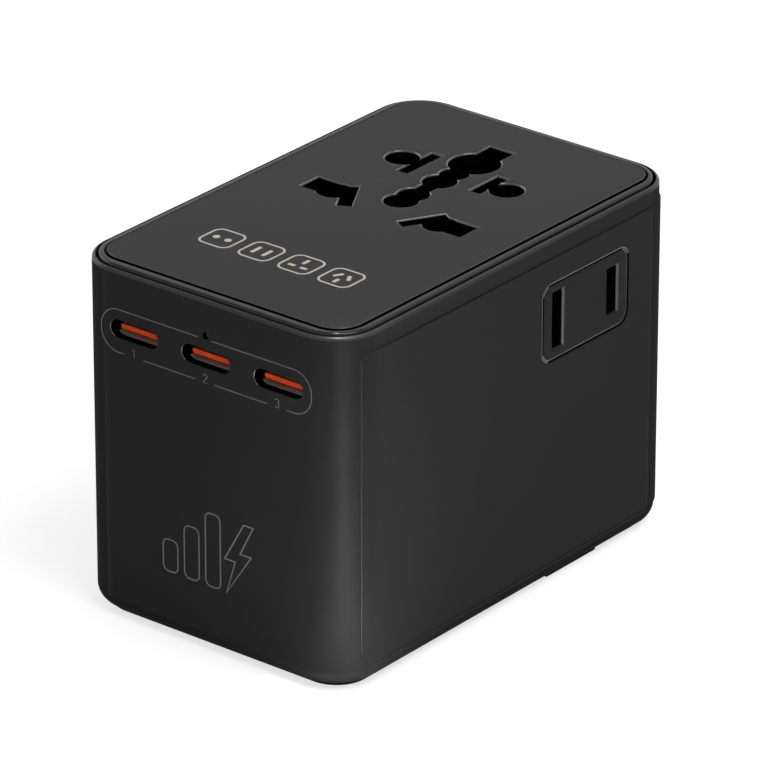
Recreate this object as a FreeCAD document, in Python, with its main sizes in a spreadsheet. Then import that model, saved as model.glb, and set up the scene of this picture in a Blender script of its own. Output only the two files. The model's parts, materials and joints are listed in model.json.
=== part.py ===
import FreeCAD, Part
import Sketcher
import os
import re

os.makedirs("parts", exist_ok=True)
doc = FreeCAD.newDocument("MultiSocketAdapter")
sheet = doc.addObject("Spreadsheet::Sheet", "Sizes")
sizes = {
    # Outer body
    "bodyWidth": 49.5,  # across the two sides of the side wrap
    "bodyDepth": 76.6,  # front face to the back of the side wrap
    "overallHeight": 54.7,  # resting face to the top of the face plate
    "baseProud": 0.3,  # base cover below the shell
    "plateProud": 0.5,  # face plate above the shell rim
    "cornerRound": 7.4,  # upright corners
    "wall": 2.0,  # shell wall
    "topEdgeRound": 0.6,  # rim edge
    "bottomEdgeRound": 2.8,  # lower edge
    "floorThick": 3.0,  # shell floor ledge
    "floorInset": 3.9,  # shell face to the floor opening
    "rimWidth": 0.5,  # shell rim around the top ring
    "ringSeam": 0.12,  # groove between the shell rim and the top ring
    "ledgeDrop": 3.2,  # overall top down to the ledge that carries the top ring
    "fit": 0.25,  # gap between fixed pieces that slip together
    "seam": 0.05,  # gap beside a fixed piece that shows
    "running": 0.3,  # gap beside a piece that slides
    "pivotFit": 0.05,  # radial gap of a turning pivot or a guide post

    # Side wrap
    "wrapProud": 0.2,  # wrap above the shell face
    "wrapThick": 1.0,  # wrap sheet
    "wrapStart": 4.3,  # front face to the wrap's front edges
    "wrapBottom": 3.5,  # lower edge level
    "wrapTopDrop": 3.4,  # overall top down to the upper edge
    "wrapLowRound": 2.8,  # lower front corners
    "wrapHighRound": 1.2,  # upper front corners

    # Face plate and top ring
    "plateInsetSide": 2.5,  # side face to the face plate
    "plateInsetEnd": 2.55,  # front or back face to the face plate
    "plateThick": 2.2,  # face plate
    "plateRound": 4.2,  # face plate corners
    "ringLip": 0.2,  # face plate above the ring
    "ringEdgeRound": 0.5,  # rolled outer edge of the ring
    "shelfWidth": 1.7,  # ring shelf below the plate

    # Universal socket
    "ukRow": 2.05,  # centre of the line and neutral slots
    "ukSlotWide": 6.55,  # slot
    "ukSlotTall": 4.2,  # slot
    "ukSlotX": 11.17,  # slot centre from the axis
    "bulgeX": 9.6,  # round widening of the slot
    "bulgeRadius": 2.6,  # round widening of the slot
    "slantX": 6.9,  # slanted slot centre
    "slantLong": 7.2,  # slanted slot
    "slantWide": 2.05,  # slanted slot
    "slantAngle": 30.0,  # slanted slot from upright
    "bulgeShift": 0.3,  # slot centre down to the widening
    "slantShift": 0.64,  # slot centre down to the slanted slot
    "slantSpare": 0.9,  # slanted slot to the shutter edge
    "euRow": 17.05,  # centre of the round holes
    "euX": 9.5,  # round hole centre, half of nineteen millimetres
    "euRadius": 2.5,  # round hole
    "barX": 6.3,  # flat slot centre
    "barWide": 1.8,  # flat slot
    "barLongLeft": 8.1,  # flat slot, wider pole
    "barLongRight": 6.6,  # flat slot, narrow pole
    "earthReach": 22.2,  # line row to the earth slot centre
    "earthWide": 4.3,  # earth slot
    "earthTall": 8.0,  # earth slot
    "earthBigRadius": 3.8,  # round widening of the earth slot
    "earthBigAt": 21.75,  # its centre
    "earthMidRadius": 2.15,  # round hole on the row of the round pins
    "earthThirdRadius": 2.5,  # third round hole
    "earthThirdAt": 13.65,  # its centre
    "earthNeckWide": 2.5,  # neck of the earth slot
    "earthFourthRadius": 2.35,  # fourth round hole
    "earthFourthAt": 7.65,  # its centre
    "earthFifthRadius": 2.5,  # fifth round hole
    "earthFifthAt": 4.85,  # its centre

    # Ports on the front face
    "portPitch": 13.0,  # between port centres
    "portDrop": 9.37,  # overall top down to the port centres
    "portWide": 8.8,  # port opening
    "portTall": 3.0,  # port opening
    "portSink": 1.3,  # front face to the metal shell
    "portShellLong": 7.4,  # metal shell
    "portShellWide": 8.94,  # metal shell
    "portShellTall": 3.26,  # metal shell
    "portSheet": 0.3,  # metal shell
    "tongueWide": 6.7,  # port tongue
    "tongueThick": 0.7,  # port tongue
    "tongueSink": 1.2,  # front face to the tongue
    "ledRise": 3.47,  # port centres up to the indicator hole
    "ledRadius": 0.55,  # indicator hole
    "lightPipeRadius": 0.5,  # indicator light pipe
    "lightPipeSink": 0.8,  # front face to the light pipe
    "lightPipeLong": 3.2,  # indicator light pipe
    "ledChipWide": 2.0,  # indicator light

    # Side outlet
    "outletY": 15.83,  # outlet centre
    "outletDrop": 13.2,  # overall top down to the outlet centre
    "outletLong": 19.7,  # insert
    "outletTall": 11.7,  # insert
    "outletRound": 1.8,  # insert corners
    "outletDeep": 3.2,  # insert
    "outletSeam": 0.06,  # groove around the insert
    "outletSink": 0.05,  # insert face below the wrap
    "outletPitch": 12.7,  # between the two slots
    "outletSlotWide": 2.3,  # slots
    "outletSlotFront": 8.1,  # wider pole
    "outletSlotRear": 6.6,  # narrow pole

    # Base cover
    "coverInset": 2.15,  # shell face to the base cover
    "coverThick": 1.5,  # base cover plate
    "coverTabLong": 11.6,  # finger tab at the right edge
    "coverTabReach": 0.4,  # finger tab at the right edge
    "bossInset": 5.65,  # shell face to the screw posts
    "bossRadius": 3.2,  # screw posts
    "bossTop": 11.0,  # screw posts
    "screwRadius": 1.0,  # screw shank
    "screwLong": 8.0,  # screw shank
    "screwHeadRadius": 1.8,  # screw head
    "screwHeadThick": 0.9,  # screw head
    "screwHeadSink": 0.2,  # screw head below the base
    "screwFit": 0.05,  # radial gap of the screws
    "driveWide": 0.4,  # cross recess of the screws
    "driveDeep": 0.5,  # cross recess of the screws

    # Plug sets
    "tipLevel": 0.5,  # drawn-in pin ends above the resting face
    "carriageThick": 5.0,  # plug carriages
    "carriageStop": 3.6,  # carriages above the resting face when out
    "terminalLong": 2.0,  # pin ends above the carriages
    "pinGap": 0.3,  # pins to the base cover openings
    "ukPinRow": 1.6,  # line and neutral pins
    "ukPinX": 11.1,  # line and neutral pins
    "ukPinWide": 6.35,  # line and neutral pins
    "ukPinThick": 4.0,  # line and neutral pins
    "ukPinOut": 17.7,  # line and neutral pins below the base when out
    "ukEarthOut": 22.7,  # earth pin below the base when out
    "ukEarthLong": 8.0,  # earth pin across
    "feedGap": 0.6,  # carriage arm to the live feed strip
    "ukArmWide": 4.0,  # carriage arm
    "ukMargin": 1.0,  # carriage around the pins
    "ukPinRound": 0.5,  # upright edges of the square pins
    "euPinRow": -5.3,  # round pins
    "euPinX": 9.5,  # round pins
    "euPinRadius": 2.0,  # round pins
    "euPostInset": 2.2,  # carriage end to its guide post
    "euPinOut": 19.0,  # round pins below the base when out
    "euCarriageDeep": 6.2,  # carriage
    "euCarriageHalf": 16.4,  # carriage, half length
    "usBladeRow": 11.7,  # flat blades
    "usBladeX": 6.35,  # flat blades
    "usBladeWide": 6.3,  # flat blades
    "usBladeThick": 1.5,  # flat blades
    "usBladeOut": 17.0,  # flat blades below the base when out
    "usPivotRadius": 3.4,  # blade pivot
    "usPivotHead": 4.0,  # blade pivot head
    "usCarriageDeep": 9.0,  # carriage
    "usCarriageHalf": 14.8,  # carriage, half length
    "usPostInset": 2.0,  # carriage end to its guide post

    # Slider knobs
    "knobWide": 8.0,  # finger face
    "knobTall": 10.0,  # finger face
    "knobThick": 0.9,  # finger face
    "knobLevel": 40.0,  # finger face centre when drawn in
    "gripPitch": 1.8,  # grip grooves
    "gripWide": 0.8,  # grip grooves
    "gripDeep": 0.45,  # grip grooves
    "gripMargin": 0.6,  # pad edge to the grooves
    "knobRound": 0.8,  # pad corners
    "neckWide": 2.0,  # neck through the wall
    "neckTall": 6.0,  # neck through the wall
    "tabThick": 2.0,  # upright tab inside the wall
    "tabWide": 5.0,  # upright tab inside the wall

    # Chassis, contact carrier, contacts and shutter
    "deckClear": 0.2,  # drawn-in terminals to the chassis deck
    "deckThick": 1.6,  # chassis deck
    "deckInsertGap": 0.1,  # chassis deck to the side outlet insert
    "deckTabGap": 1.05,  # chassis deck to the carriage tabs
    "deckFront": -9.0,  # chassis deck
    "postRadius": 1.2,  # guide posts
    "postRoot": 0.5,  # guide posts into the chassis deck
    "coreHalf": 17.0,  # contact carrier
    "coreFront": -4.0,  # contact carrier
    "coreClear": 0.25,  # contact carrier to the shutter
    "coreFloor": 1.0,  # contact carrier
    "coreWall": 1.0,  # contact carrier
    "wellInner": 4.3,  # side wells from the axis
    "wellBack": 25.0,  # side wells
    "earthWellHalf": 3.3,  # earth well
    "earthWellShift": 4.0,  # side wells to the earth well
    "earthLeafLong": 7.0,  # earth leaves
    "earthSpare": 2.25,  # earth leaves to the end of their well
    "leafThick": 0.6,  # contact leaves
    "leafDrop": 2.5,  # carrier top down to the leaf ends
    "leafSpare": 0.1,  # contact leaves beside the socket openings
    "stripThick": 0.8,  # contact strips
    "stripWide": 3.6,  # contact strips
    "stripGap": 1.0,  # contact strips to the ends of their wells
    "liveFeedLong": 20.0,  # live feed strip
    "neutralFeedLong": 5.2,  # neutral feed strip
    "shutterThick": 1.1,  # socket shutter
    "shutterTravel": 8.0,  # socket shutter
    "shutterHalf": 15.4,  # socket shutter
    "shutterClear": 0.15,  # shutter below the face plate
    "shutterInner": 4.2,  # shutter wings from the axis
    "shutterRail": 1.0,  # shutter side rails
    "shutterSpare": 0.1,  # shutter past the round and flat openings
    "shutterLineSpare": 0.5,  # shutter past the slanted slots
    "bridgeWide": 2.4,  # shutter bridge
    "springRadius": 0.9,  # shutter spring
    "springLong": 12.0,  # shutter spring
    "springStop": 1.2,  # spring stop under the face plate

    # Charger electronics
    "boardThick": 1.6,  # main board
    "boardBack": -9.6,  # main board
    "boardDrop": 5.7,  # overall top down to the main board
    "boardSideGap": 2.15,  # shell wall to the main board
    "usbBoardThick": 1.2,  # port board
    "usbBoardSideGap": 3.95,  # shell wall to the port board
    "sheetThick": 0.4,  # insulating sheet
    "spreaderThick": 0.8,  # heat spreader
    "spreaderSideGap": 0.35,  # corner round to the heat spreader
    "spreaderBottom": 12.5,  # heat spreader
    "spreaderClear": 2.0,  # heat spreader to the port board
    "coreLong": 20.0,  # transformer core
    "coreTall": 18.0,  # transformer core
    "coreDeep": 12.0,  # transformer core
    "coreLeg": 3.0,  # transformer core
    "coreGap": 1.5,  # main board to the transformer core
    "transformerBottom": 12.0,  # transformer core
    "windingDeep": 15.0,  # transformer winding
    "bulkRadius": 4.5,  # bulk capacitors
    "bulkLong": 20.0,  # bulk capacitors
    "bulkLevel": 16.2,  # lowest bulk capacitor
    "bulkPitch": 9.5,  # between bulk capacitors
    "outputRadius": 3.15,  # output capacitors
    "outputLong": 9.0,  # output capacitors
    "outputLevel": 25.5,  # lowest output capacitor
    "outputPitch": 6.7,  # between output capacitors
    "chokeRadius": 4.8,  # choke
    "chokeHole": 2.2,  # choke
    "chokeThick": 7.0,  # choke
    "chokeLevel": 15.5,  # choke
    "chipWide": 8.0,  # power chip
    "chipThick": 1.0,  # power chip

    # Fuse drawer
    "drawerY": -22.0,  # fuse drawer
    "drawerLong": 26.0,  # fuse drawer
    "drawerWide": 8.0,  # fuse drawer
    "drawerTall": 8.3,  # fuse drawer
    "drawerWall": 1.2,  # fuse drawer
    "sleeveWall": 1.0,  # sleeve around the drawer
    "sleeveTop": 7.5,  # sleeve around the drawer
    "fuseRadius": 2.6,  # fuse
    "fuseLong": 20.0,  # fuse
    "fuseLevel": 5.4,  # fuse
    "fuseSpare": 0.1,  # fuse to its bed
    "fuseClipWide": 4.0,  # fuse clips
    "fuseClipX": 7.5,  # fuse clips
    "fuseClipReach": 2.0,  # fuse clips past the fuse centre
    "notchRadius": 1.4,  # finger notch of the drawer
    "notchInset": 0.6,  # drawer end to the finger notch
}

for row, (name, value) in enumerate(sizes.items(), 1):
    sheet.set(f"A{row}", name)
    sheet.set(f"B{row}", str(value))
    sheet.setAlias(f"B{row}", name)
doc.recompute()


# Sizes and places that follow from the driving ones
follows = {
    "innerHalf": "bodyWidth / 2 - wrapProud - wall",
    "ledgeLevel": "overallHeight - ledgeDrop",
    "wrapTop": "overallHeight - wrapTopDrop",
    "plateWidth": "bodyWidth - 2 * plateInsetSide",
    "plateDepth": "bodyDepth - 2 * plateInsetEnd",
    "portLevel": "overallHeight - portDrop",
    "ledLevel": "portLevel + ledRise",
    "outletLevel": "overallHeight - outletDrop",
    "ukTravel": "ukEarthOut + tipLevel",
    "euTravel": "euPinOut + tipLevel",
    "usTravel": "usBladeOut + tipLevel",
    "deckBottom": "carriageStop + ukTravel + carriageThick + terminalLong + deckClear",
    "deckHalfRight": "bodyWidth / 2 - outletSink - outletDeep - deckInsertGap",
    "deckHalfLeft": "innerHalf - running - tabThick - deckTabGap",
    "deckBack": "ukRow + earthReach + earthLeafLong / 2 + earthSpare + coreWall",
    "ukArmX": "deckHalfRight - leafThick - feedGap - ukArmWide",
    "shutterLow": "overallHeight - plateThick - shutterClear - shutterThick",
    "coreTop": "shutterLow - coreClear",
    "leafTop": "coreTop - leafDrop",
    "wellFloor": "deckBottom + deckThick + coreFloor",
    "boardTop": "overallHeight - boardDrop",
    "boardHalf": "innerHalf - boardSideGap",
    "usbBoardHalf": "innerHalf - usbBoardSideGap",
    "usbBoardBottom": "portLevel - portShellTall / 2 - usbBoardThick",
    "spreaderHalf": "innerHalf - cornerRound + wrapProud + wall - spreaderSideGap",
    "spreaderTall": "usbBoardBottom - spreaderClear - spreaderBottom",
    "sideRoomX": "(coreLong / 2 + innerHalf) / 2",
    "chipLevel": "(transformerBottom + coreTall - coreLeg + usbBoardBottom) / 2",
}


def rule(text):
    """Write out what follows from the driving sizes, and point each of these at its cell in the sheet."""
    def swap(word):
        if word[0] in follows:
            return "(" + rule(follows[word[0]]) + ")"
        return "Sizes." + word[0] if word[0] in sizes else word[0]
    return re.sub(r"[A-Za-z_]\w*", swap, str(text))


def number(text):
    """Value of a size or of a formula of sizes."""
    return float(sheet.evalExpression(rule(text)))


def bind(item, prop, text):
    item.setExpression(prop, rule(text))


def place(item, x, y, z):
    bind(item, "Placement.Base.x", x)
    bind(item, "Placement.Base.y", y)
    bind(item, "Placement.Base.z", z)
    return item


def box(name, x, y, z, long, deep, tall):
    """Box from its low corner."""
    item = doc.addObject("Part::Box", name)
    bind(item, "Length", long)
    bind(item, "Width", deep)
    bind(item, "Height", tall)
    return place(item, x, y, z)


def block(name, x, y, z, long, deep, tall):
    """Box from the middle of its lower face."""
    return box(name, f"({x}) - ({long}) / 2", f"({y}) - ({deep}) / 2", z, long, deep, tall)


def rod(name, x, y, z, radius, tall, axis="Z"):
    """Cylinder from its first end along an axis."""
    item = doc.addObject("Part::Cylinder", name)
    bind(item, "Radius", radius)
    bind(item, "Height", tall)
    turn = {"X": ((0, 1, 0), 90), "Y": ((1, 0, 0), -90), "Z": ((0, 0, 1), 0)}[axis]
    item.Placement.Rotation = FreeCAD.Rotation(FreeCAD.Vector(*turn[0]), turn[1])
    return place(item, x, y, z)


def rounded(name, x, y, z, long, deep, tall, radius, along="Z"):
    """Block with its four edges along one axis rounded."""
    item = block(name + "Block", x, y, z, long, deep, tall)
    item.addProperty("App::PropertyFloat", "EdgeRadius")
    bind(item, "EdgeRadius", radius)
    doc.recompute()
    edge_axis = FreeCAD.Vector(along == "X", along == "Y", along == "Z")
    picked = []
    for index, edge in enumerate(item.Shape.Edges, 1):
        run = edge.Vertexes[1].Point - edge.Vertexes[0].Point
        if run.cross(edge_axis).Length < 1e-6:
            picked.append((index, item.EdgeRadius, item.EdgeRadius))
    fillet = doc.addObject("Part::Fillet", name)
    fillet.Base = item
    fillet.Edges = picked
    return fillet


def fuse(name, pieces):
    item = doc.addObject("Part::MultiFuse", name)
    item.Shapes = pieces
    return item


def cut(name, base, tool):
    item = doc.addObject("Part::Cut", name)
    item.Base = base
    item.Tool = fuse(name + "Tools", tool) if isinstance(tool, list) else tool
    return item


def common(name, base, tool):
    item = doc.addObject("Part::Common", name)
    item.Base = base
    item.Tool = tool
    return item


def group(name, pieces):
    """Separate like solids in one node."""
    item = doc.addObject("Part::Compound", name)
    item.Links = pieces
    return item


def outer_edges(name, base, level, radius, reach):
    """Round the outermost edges of a piece at one level."""
    doc.recompute()
    picked = []
    for index, edge in enumerate(base.Shape.Edges, 1):
        low, high = edge.BoundBox.ZMin, edge.BoundBox.ZMax
        far = max(abs(edge.BoundBox.XMin), abs(edge.BoundBox.XMax)) > number("bodyWidth") / 2 - reach
        deep = max(abs(edge.BoundBox.YMin), abs(edge.BoundBox.YMax)) > number("bodyDepth") / 2 - reach
        if abs(low - level) < 1e-3 and abs(high - level) < 1e-3 and (far or deep):
            picked.append((index, radius, radius))
    item = doc.addObject("Part::Fillet", name)
    item.Base = base
    item.Edges = picked
    return item


nodes = {}


def node(name, item):
    item.Label = name
    nodes[name] = item
    return item


shell_width = "(bodyWidth - 2 * wrapProud)"
shell_depth = "(bodyDepth - wrapProud)"
shell_y = "(0 - wrapProud / 2)"
shell_top = "(overallHeight - plateProud)"
plate_bottom = "(overallHeight - plateThick)"
front = "(0 - bodyDepth / 2)"
right = "(bodyWidth / 2)"
inner_left = "(0 - innerHalf)"
inner_back = "(bodyDepth / 2 - wrapProud - wall)"
inner_front = "(0 - bodyDepth / 2 + wall)"
skin_left = "(0 - bodyWidth / 2 + wrapThick)"
skin_back = "(bodyDepth / 2 - wrapThick)"
floor_top = "(baseProud + floorThick)"


def shell_block(name, inset, low, high):
    """Rounded block that follows the shell at an inset."""
    return rounded(name, "0", shell_y, low, f"{shell_width} - 2 * ({inset})",
                   f"{shell_depth} - 2 * ({inset})",
                   f"({high}) - ({low})", f"cornerRound - wrapProud - ({inset})")


def stadium(name, x, y, z, long, deep, tall):
    """Port-shaped bar along Y: its ends in X are half round. The place is the middle of its front end."""
    return rounded(name, x, f"({y}) + ({deep}) / 2", f"({z}) - ({tall}) / 2", long, deep, tall,
                   f"({tall}) * 0.499", "Y")


# Side wrap: a U-shaped skin let into the shell, with a window for each slider knob
def wrap_profile(name):
    """Side view of the wrap as a bar across the body."""
    low, high = number("wrapBottom"), number("wrapTop")
    start = -number("bodyDepth") / 2 + number("wrapStart")
    end = number("bodyDepth")
    near, far = number("wrapLowRound"), number("wrapHighRound")
    body = doc.addObject("PartDesign::Body", name)
    sketch = body.newObject("Sketcher::SketchObject", name + "Outline")
    plane = next(item for item in body.Origin.OriginFeatures if item.Role == "YZ_Plane")
    sketch.AttachmentSupport = [(plane, "")]
    sketch.MapMode = "FlatFace"
    corner = 0.5 ** 0.5
    points = {
        "lowFar": FreeCAD.Vector(end, low, 0),
        "lowNear": FreeCAD.Vector(start + near, low, 0),
        "lowBend": FreeCAD.Vector(start + near * (1 - corner), low + near * (1 - corner), 0),
        "frontLow": FreeCAD.Vector(start, low + near, 0),
        "frontHigh": FreeCAD.Vector(start, high - far, 0),
        "highBend": FreeCAD.Vector(start + far * (1 - corner), high - far * (1 - corner), 0),
        "highNear": FreeCAD.Vector(start + far, high, 0),
        "highFar": FreeCAD.Vector(end, high, 0),
    }
    sketch.addGeometry([
        Part.LineSegment(points["lowFar"], points["lowNear"]),
        Part.Arc(points["lowNear"], points["lowBend"], points["frontLow"]),
        Part.LineSegment(points["frontLow"], points["frontHigh"]),
        Part.Arc(points["frontHigh"], points["highBend"], points["highNear"]),
        Part.LineSegment(points["highNear"], points["highFar"]),
        Part.LineSegment(points["highFar"], points["lowFar"]),
    ], False)
    pad = body.newObject("PartDesign::Pad", name + "Pad")
    pad.Profile = sketch
    bind(pad, "Length", "bodyWidth + 10")
    pad.SideType = "Symmetric"
    return body


def knob_window(name, x, y, travel, along):
    """Space in the wrap for a knob and its travel."""
    tall = f"knobTall + ({travel}) + 2 * running"
    low = f"knobLevel - knobTall / 2 - ({travel}) - running"
    wide = "knobWide + 2 * running"
    if along == "Y":
        return block(name, x, y, low, "4 * wrapThick", wide, tall)
    return block(name, x, y, low, wide, "4 * wrapThick", tall)


def neck_slot(name, x, y, travel, along):
    """Slot in the shell wall for a knob's neck."""
    tall = f"neckTall + ({travel}) + 2 * running"
    low = f"knobLevel - neckTall / 2 - ({travel}) - running"
    wide = "neckWide + 2 * running"
    if along == "Y":
        return block(name, x, y, low, "4 * wall", wide, tall)
    return block(name, x, y, low, wide, "4 * wall", tall)


wrap_outside = rounded("wrapOutside", "0", "0", "wrapBottom - 1", "bodyWidth", "bodyDepth",
                       "wrapTop - wrapBottom + 2", "cornerRound")
wrap_inside = rounded("wrapInside", "0", "0", "wrapBottom - 2", "bodyWidth - 2 * wrapThick",
                      "bodyDepth - 2 * wrapThick", "wrapTop - wrapBottom + 4", "cornerRound - wrapThick")
wrap_skin = common("wrapSkin", cut("wrapTube", wrap_outside, wrap_inside), wrap_profile("wrapSideView"))
outlet_gap = rounded("outletGap", right, "outletY", "outletLevel - outletTall / 2 - outletSeam", "6 * wall",
                     "outletLong + 2 * outletSeam", "outletTall + 2 * outletSeam",
                     "outletRound + outletSeam", "X")
left_face = "(0 - bodyWidth / 2)"
back_face = "(bodyDepth / 2)"
windows = [
    knob_window("euWindow", left_face, "euPinRow", "euTravel", "Y"),
    knob_window("usWindow", left_face, "usBladeRow", "usTravel", "Y"),
    knob_window("ukWindow", "0", back_face, "ukTravel", "X"),
]
side_wrap = node("side_wrap", cut("sideWrap", wrap_skin, windows + [outlet_gap]))

# Main shell
shell_solid = shell_block("shellSolid", "0", "baseProud", shell_top)
shell_rounded = outer_edges("shellLowEdge", shell_solid, number("baseProud"), number("bottomEdgeRound"), 4)
rim_level = number("overallHeight") - number("plateProud")
shell_rounded = outer_edges("shellRimEdge", shell_rounded, rim_level, number("topEdgeRound"), 4)
shell_hollow = [
    shell_block("shellCavity", "wall", floor_top, "ledgeLevel + 1"),
    shell_block("shellMouth", "rimWidth", "ledgeLevel", f"{shell_top} + 2"),
    shell_block("floorOpening", "floorInset", "baseProud - 1", f"{floor_top} + 1"),
    shell_block("coverRebate", "coverInset", "baseProud - 1", "coverThick"),
    block("tabRebate", f"{right} - wrapProud - coverInset - coverTabReach", "outletY", "baseProud - 1",
          "4 * coverTabReach", "coverTabLong", "coverThick - baseProud + 1"),
]
port_cuts = []
for index in range(3):
    port_x = f"portPitch * ({index} - 1)"
    port_cuts.append(stadium(f"portMouth{index}", port_x, f"{front} - 1", "portLevel", "portWide",
                             "wall + 2", "portTall"))
    port_cuts.append(stadium(f"portSeat{index}", port_x, f"{front} + portSink", "portLevel",
                             "portShellWide + 2 * seam", "wall", "portShellTall + 2 * seam"))
led_cut = rod("ledHole", "0", f"{front} - 1", "ledLevel", "ledRadius", "wall + 2", "Y")
necks = [
    neck_slot("euNeckSlot", left_face, "euPinRow", "euTravel", "Y"),
    neck_slot("usNeckSlot", left_face, "usBladeRow", "usTravel", "Y"),
    neck_slot("ukNeckSlot", "0", back_face, "ukTravel", "X"),
]
wrap_recess = common("wrapRecess", cut("recessTube", rounded(
    "recessOutside", "0", "0", "wrapBottom - 1", "bodyWidth + 4", "bodyDepth + 4",
    "wrapTop - wrapBottom + 2", "cornerRound + 2"), wrap_inside), wrap_profile("recessSideView"))
hollow_shell = cut("hollowShell", shell_rounded, shell_hollow)
bosses = []
boss_holes = []
for side_x in (-1, 1):
    for side_y in (-1, 1):
        tag = f"{'L' if side_x < 0 else 'R'}{'F' if side_y < 0 else 'B'}"
        boss_x = f"{side_x} * ({shell_width} / 2 - bossInset)"
        boss_y = f"{shell_y} + {side_y} * ({shell_depth} / 2 - bossInset)"
        bosses.append(rod(f"boss{tag}", boss_x, boss_y, "coverThick", "bossRadius", "bossTop - coverThick"))
        boss_holes.append(rod(f"bossHole{tag}", boss_x, boss_y, "coverThick - 1", "screwRadius + screwFit",
                              "screwLong + 2"))
boss_limit = shell_block("bossLimit", "wall / 2", "coverThick", "bossTop")
boss_set = common("bossSet", fuse("bossPosts", bosses), boss_limit)
shell_joined = fuse("shellJoined", [hollow_shell, boss_set])
main_shell = node("main_shell", cut("mainShell", shell_joined,
                                    port_cuts + necks + boss_holes + [led_cut, wrap_recess, outlet_gap]))

# Top ring and face plate
ring_inset = "(rimWidth + ringSeam)"
ring_solid = shell_block("ringSolid", ring_inset, "ledgeLevel", "overallHeight - ringLip")
ring_level = number("overallHeight") - number("ringLip")
ring_rolled = outer_edges("ringRolled", ring_solid, ring_level, number("ringEdgeRound"), 4)
plate_pocket = rounded("platePocket", "0", "0", plate_bottom, "plateWidth + 2 * seam",
                       "plateDepth + 2 * seam", "plateThick + 1", "plateRound + seam")
ring_window = rounded("ringWindow", "0", "0", "ledgeLevel - 1", "plateWidth - 2 * shelfWidth",
                      "plateDepth - 2 * shelfWidth", "plateThick + 4", "plateRound - shelfWidth")
node("top_ring", cut("topRing", ring_rolled, [plate_pocket, ring_window]))


def slot_cutters(prefix, low, tall):
    """The universal socket's openings, as bars through the plate."""
    cutters = []
    for side in (-1, 1):
        tag = prefix + ("Left" if side < 0 else "Right")
        cutters.append(block(tag + "Uk", f"{side} * ukSlotX", "ukRow", low, "ukSlotWide", "ukSlotTall",
                             tall))
        cutters.append(rod(tag + "Bulge", f"{side} * bulgeX", "ukRow - bulgeShift", low, "bulgeRadius",
                           tall))
        slant = doc.addObject("Part::Box", tag + "Slant")
        bind(slant, "Length", "slantWide")
        bind(slant, "Width", "slantLong")
        bind(slant, "Height", tall)
        slant.Placement.Rotation = FreeCAD.Rotation(FreeCAD.Vector(0, 0, 1), -side * number("slantAngle"))
        low_x = f"{side} * slantX - cos(slantAngle) * slantWide / 2 - {side} * sin(slantAngle) * slantLong / 2"
        low_y = f"{side} * sin(slantAngle) * slantWide / 2 - cos(slantAngle) * slantLong / 2 - slantShift + ukRow"
        place(slant, low_x, low_y, low)
        cutters.append(slant)
        cutters.append(rod(tag + "Round", f"{side} * euX", "euRow", low, "euRadius", tall))
    cutters.append(block(prefix + "LeftBar", "0 - barX", "euRow", low, "barWide", "barLongLeft", tall))
    cutters.append(block(prefix + "RightBar", "barX", "euRow", low, "barWide", "barLongRight", tall))
    earth_centre = "(ukRow + earthReach)"
    cutters.append(box(prefix + "Earth", "0 - earthWide / 2", "earthBigAt", low, "earthWide",
                       f"{earth_centre} + earthTall / 2 - earthBigAt", tall))
    cutters.append(rod(prefix + "EarthBig", "0", "earthBigAt", low, "earthBigRadius", tall))
    cutters.append(rod(prefix + "EarthMid", "0", "euRow", low, "earthMidRadius", tall))
    cutters.append(rod(prefix + "EarthThird", "0", "earthThirdAt", low, "earthThirdRadius", tall))
    cutters.append(rod(prefix + "EarthFourth", "0", "earthFourthAt", low, "earthFourthRadius", tall))
    cutters.append(rod(prefix + "EarthFifth", "0", "earthFifthAt", low, "earthFifthRadius", tall))
    cutters.append(box(prefix + "EarthNeck", "0 - earthNeckWide / 2", "earthFifthAt", low, "earthNeckWide",
                       "earthBigAt - earthFifthAt", tall))
    return cutters


plate_blank = rounded("plateBlank", "0", "0", plate_bottom, "plateWidth", "plateDepth", "plateThick",
                      "plateRound")
bar_front = "(ukRow - slantLong / 2 - slantSpare)"
spring_end = f"({bar_front} - bridgeWide)"
spring_level = f"({plate_bottom} - shutterClear - springRadius)"
stop_rib = box("springStopRib", "0 - 2 * springRadius", f"{spring_end} - springLong - springStop",
               f"{spring_level} - springRadius", "4 * springRadius", "springStop",
               f"{plate_bottom} - {spring_level} + springRadius")
open_plate = cut("openPlate", plate_blank, slot_cutters("plate", f"{plate_bottom} - 1", "plateThick + 2"))
node("face_plate", fuse("facePlate", [open_plate, stop_rib]))
node("shutter_spring", cut("shutterSpring", rod("springOutside", "0", f"{spring_end} - springLong",
                                                spring_level, "springRadius", "springLong", "Y"),
                           rod("springInside", "0", f"{spring_end} - springLong - 1", spring_level,
                               "springRadius / 2", "springLong + 2", "Y")))

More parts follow.
